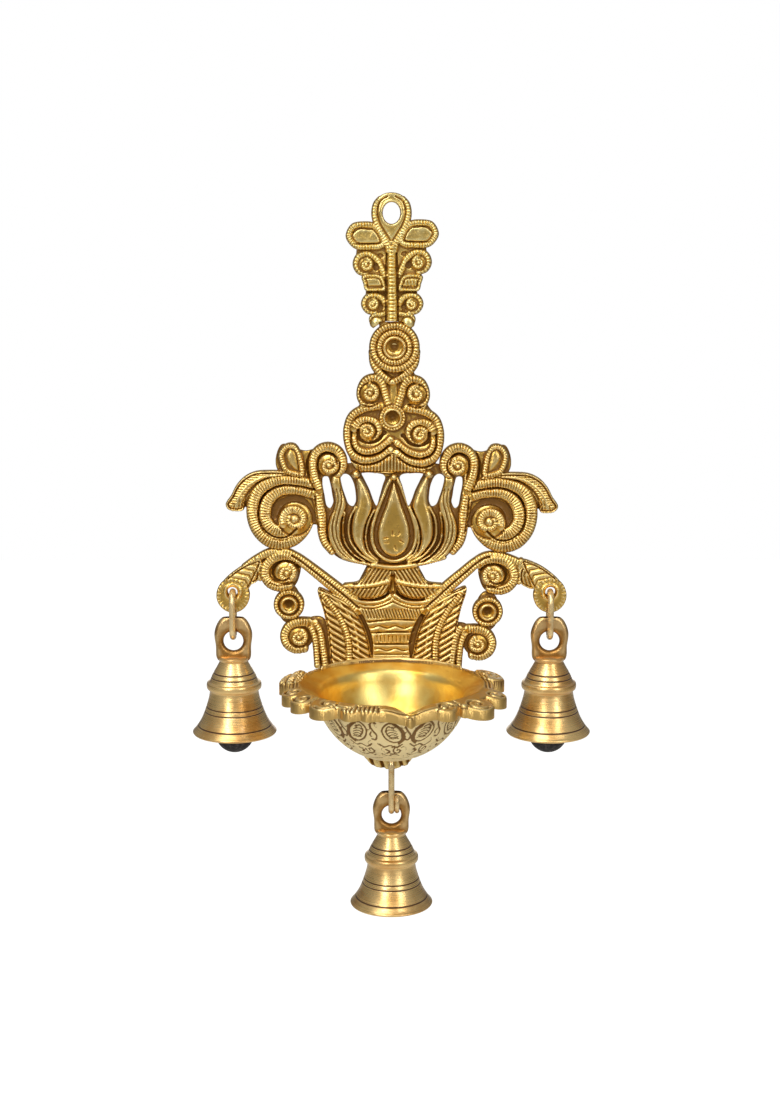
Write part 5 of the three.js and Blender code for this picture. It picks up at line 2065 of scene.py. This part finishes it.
    def clapper(self) -> None:
        """The staple, the rod and the ball."""
        top = self.lug + self.hole_drop
        pivot, ball = top - self.pivot_drop, top - self.ball_drop
        turn = np.radians(np.linspace(180, 360, 20))
        low = np.stack([np.cos(turn), 1 + np.sin(turn)], 1) * self.staple + (0, pivot)
        legs = np.vstack([[(-self.staple, pivot + 5)], low, [(self.staple, pivot + 5)]])
        made = self.tube(f"{self.name}_staple_wire", legs, self.staple_wire, False, Plane.ALONG)
        self.keep(made, "bell", "staple", DarkIron(), "iron")
        turn = np.radians(np.linspace(0, 360, 36, endpoint=False))
        eye = np.stack([self.eye * np.cos(turn), pivot - 0.15 + self.eye * np.sin(turn)], 1)
        made = self.tube(f"{self.name}_rod_eye", eye, self.rod, True)
        self.keep(made, "clapper", "clapper_rod", DarkIron(), "iron")
        neck = pivot - 2.0
        rod, faces = revolve([(0, ball), (self.rod, ball), (self.rod + 0.05, neck), (0, neck)], 16)
        made = make_mesh(f"{self.name}_rod", self.at(rod, 0), faces)
        self.keep(made, "clapper", "", DarkIron(), "iron")
        swell = np.radians(np.linspace(-90, 82, 36))
        profile = [(self.ball * math.cos(a), ball + self.ball * math.sin(a)) for a in swell]
        corners, faces = revolve(profile + [(0, profile[-1][1])], 64)
        made = make_mesh(f"{self.name}_ball", self.at(corners, 0), faces)
        self.keep(made, "clapper", "clapper_ball", DarkIron(), "iron")


@dataclass
class Studio:
    """Floor, light and camera, in metres.

    Attributes:
        eye: where the camera stands.
        pitch, lens: how many degrees it looks down, and its focal length.
        aim: what the lamps face.
        floor, floor_half: the floor's height, and half its side.
        dark: the grey that surrounds the object.
        front: how much the grey gains towards the camera.
        over: how much it gains overhead.
    """

    eye: Place = (-0.0006, -0.780, 0.015)
    pitch: float = 11.239
    lens: float = 62.27
    aim: Place = (0, -0.02, -0.14)
    floor: float = -0.75
    floor_half: float = 3.0
    dark: float = 0.12
    front: float = 0.24
    over: float = 0.22

    def build(self) -> None:
        """Sets up everything round the object."""
        self.camera()
        self.world()
        self.ground()
        self.lamp("key", (-0.50, -1.08, 0.42), (0.30, 1.1), 5.6)
        self.lamp("fill", (0.66, -0.96, 0.36), (0.26, 1.1), 4.2)
        self.lamp("top", (-0.35, -0.60, 0.95), (0.9, 0.5), 3.4)
        bpy.context.scene.view_settings.view_transform = "Standard"

    def camera(self) -> None:
        """The camera at the photograph's angle."""
        data = bpy.data.cameras.new("camera")
        data.lens = self.lens
        data.sensor_width = 36
        made = bpy.data.objects.new("camera", data)
        made.location = self.eye
        made.rotation_euler = (math.radians(90 - self.pitch), 0, 0)
        bpy.context.scene.collection.objects.link(made)
        bpy.context.scene.camera = made

    def world(self) -> None:
        """White behind the object, and a softer grey all round it."""
        bpy.context.scene.world = bpy.data.worlds.new("studio")
        kit = Palette.cleared(bpy.context.scene.world)
        course = kit.add("ShaderNodeTexCoord", out="Generated")
        across = kit.add("ShaderNodeSeparateXYZ", {}, {"Vector": course})
        away, up = across.also("Y"), across.also("Z")
        seen = kit.add("ShaderNodeLightPath", out="Is Camera Ray")
        behind = seen.also("Is Glossy Ray") * away.between(0.93, 0.99)
        white = (seen + seen.also("Is Transmission Ray") + behind).clipped()
        grey = self.dark + self.front * (0.0 - away).between(-0.1, 0.95) + self.over * up.between(-0.2, 0.9)
        soft = kit.add("ShaderNodeCombineColor", {}, {"Red": grey, "Green": grey, "Blue": grey})
        colour = kit.mix(white, soft, (1.0, 1.0, 1.0))
        shader = kit.add("ShaderNodeBackground", {}, {"Color": colour, "Strength": 1.0})
        kit.finish(shader, "ShaderNodeOutputWorld")

    def ground(self) -> None:
        """A pale floor that keeps the object's shadow."""
        half, z = self.floor_half, self.floor
        corners = np.array([(-half, -half, z), (half, -half, z), (half, half, z), (-half, half, z)])
        made = make_mesh("floor", corners / MM, [[0, 1, 2, 3]], False)
        material = bpy.data.materials.new("floor")
        kit = Palette.cleared(material)
        seen = kit.add("ShaderNodeLightPath", out="Is Camera Ray")
        shader = kit.add("ShaderNodeBsdfPrincipled", {}, {
            "Base Color": rgb("F2F1EE"), "Roughness": 0.9,
            "Emission Color": kit.mix(seen, (0.0, 0.0, 0.0), (1.0, 1.0, 1.0)), "Emission Strength": 0.75})
        kit.finish(shader)
        made.data.materials.append(material)

    def lamp(self, name: str, place: Place, size: Point, glow: float) -> None:
        """A soft box that faces the object.

        Args:
            name: its name.
            place: where it stands, in metres.
            size: its width and height.
            glow: how bright its face is, where 1 is white.
        """
        data = bpy.data.lights.new(name, "AREA")
        data.shape = "RECTANGLE"
        data.size, data.size_y = size
        data.energy = glow * math.pi * size[0] * size[1]
        made = bpy.data.objects.new(name, data)
        made.location = place
        aim = Vector(self.aim) - Vector(place)
        made.rotation_euler = aim.to_track_quat("-Z", "Y").to_euler()
        bpy.context.scene.collection.objects.link(made)


@dataclass
class Screws:
    """The two screws behind the bowl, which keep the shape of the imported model."""

    names: tuple[str, ...] = ("screw_left", "screw_right")
    finish: Finish = field(default_factory=WireBrass)

    def build(self) -> None:
        """Gives both screws their finish."""
        for name in self.names:
            self.finish.dress(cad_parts[name])


def main() -> None:
    """Builds the diya and its studio."""
    logging.basicConfig(level=logging.INFO, format="%(message)s")
    bells = [Bell(name, *hole, link=19.3, ball=8.2, ball_drop=51.5)
             for name, hole in (("left", LEFT_HOLE), ("right", RIGHT_HOLE))]
    bells.append(Bell("bottom", *TAIL_HOLE, link=25.3, ball=6.0, ball_drop=40, lapped=True))
    for part in (Studio(), Finial(), Panel(), Bowl(), Screws(), *bells):
        part.build()
        log.info("%s done", type(part).__name__)


if __name__ == "__main__":
    main()
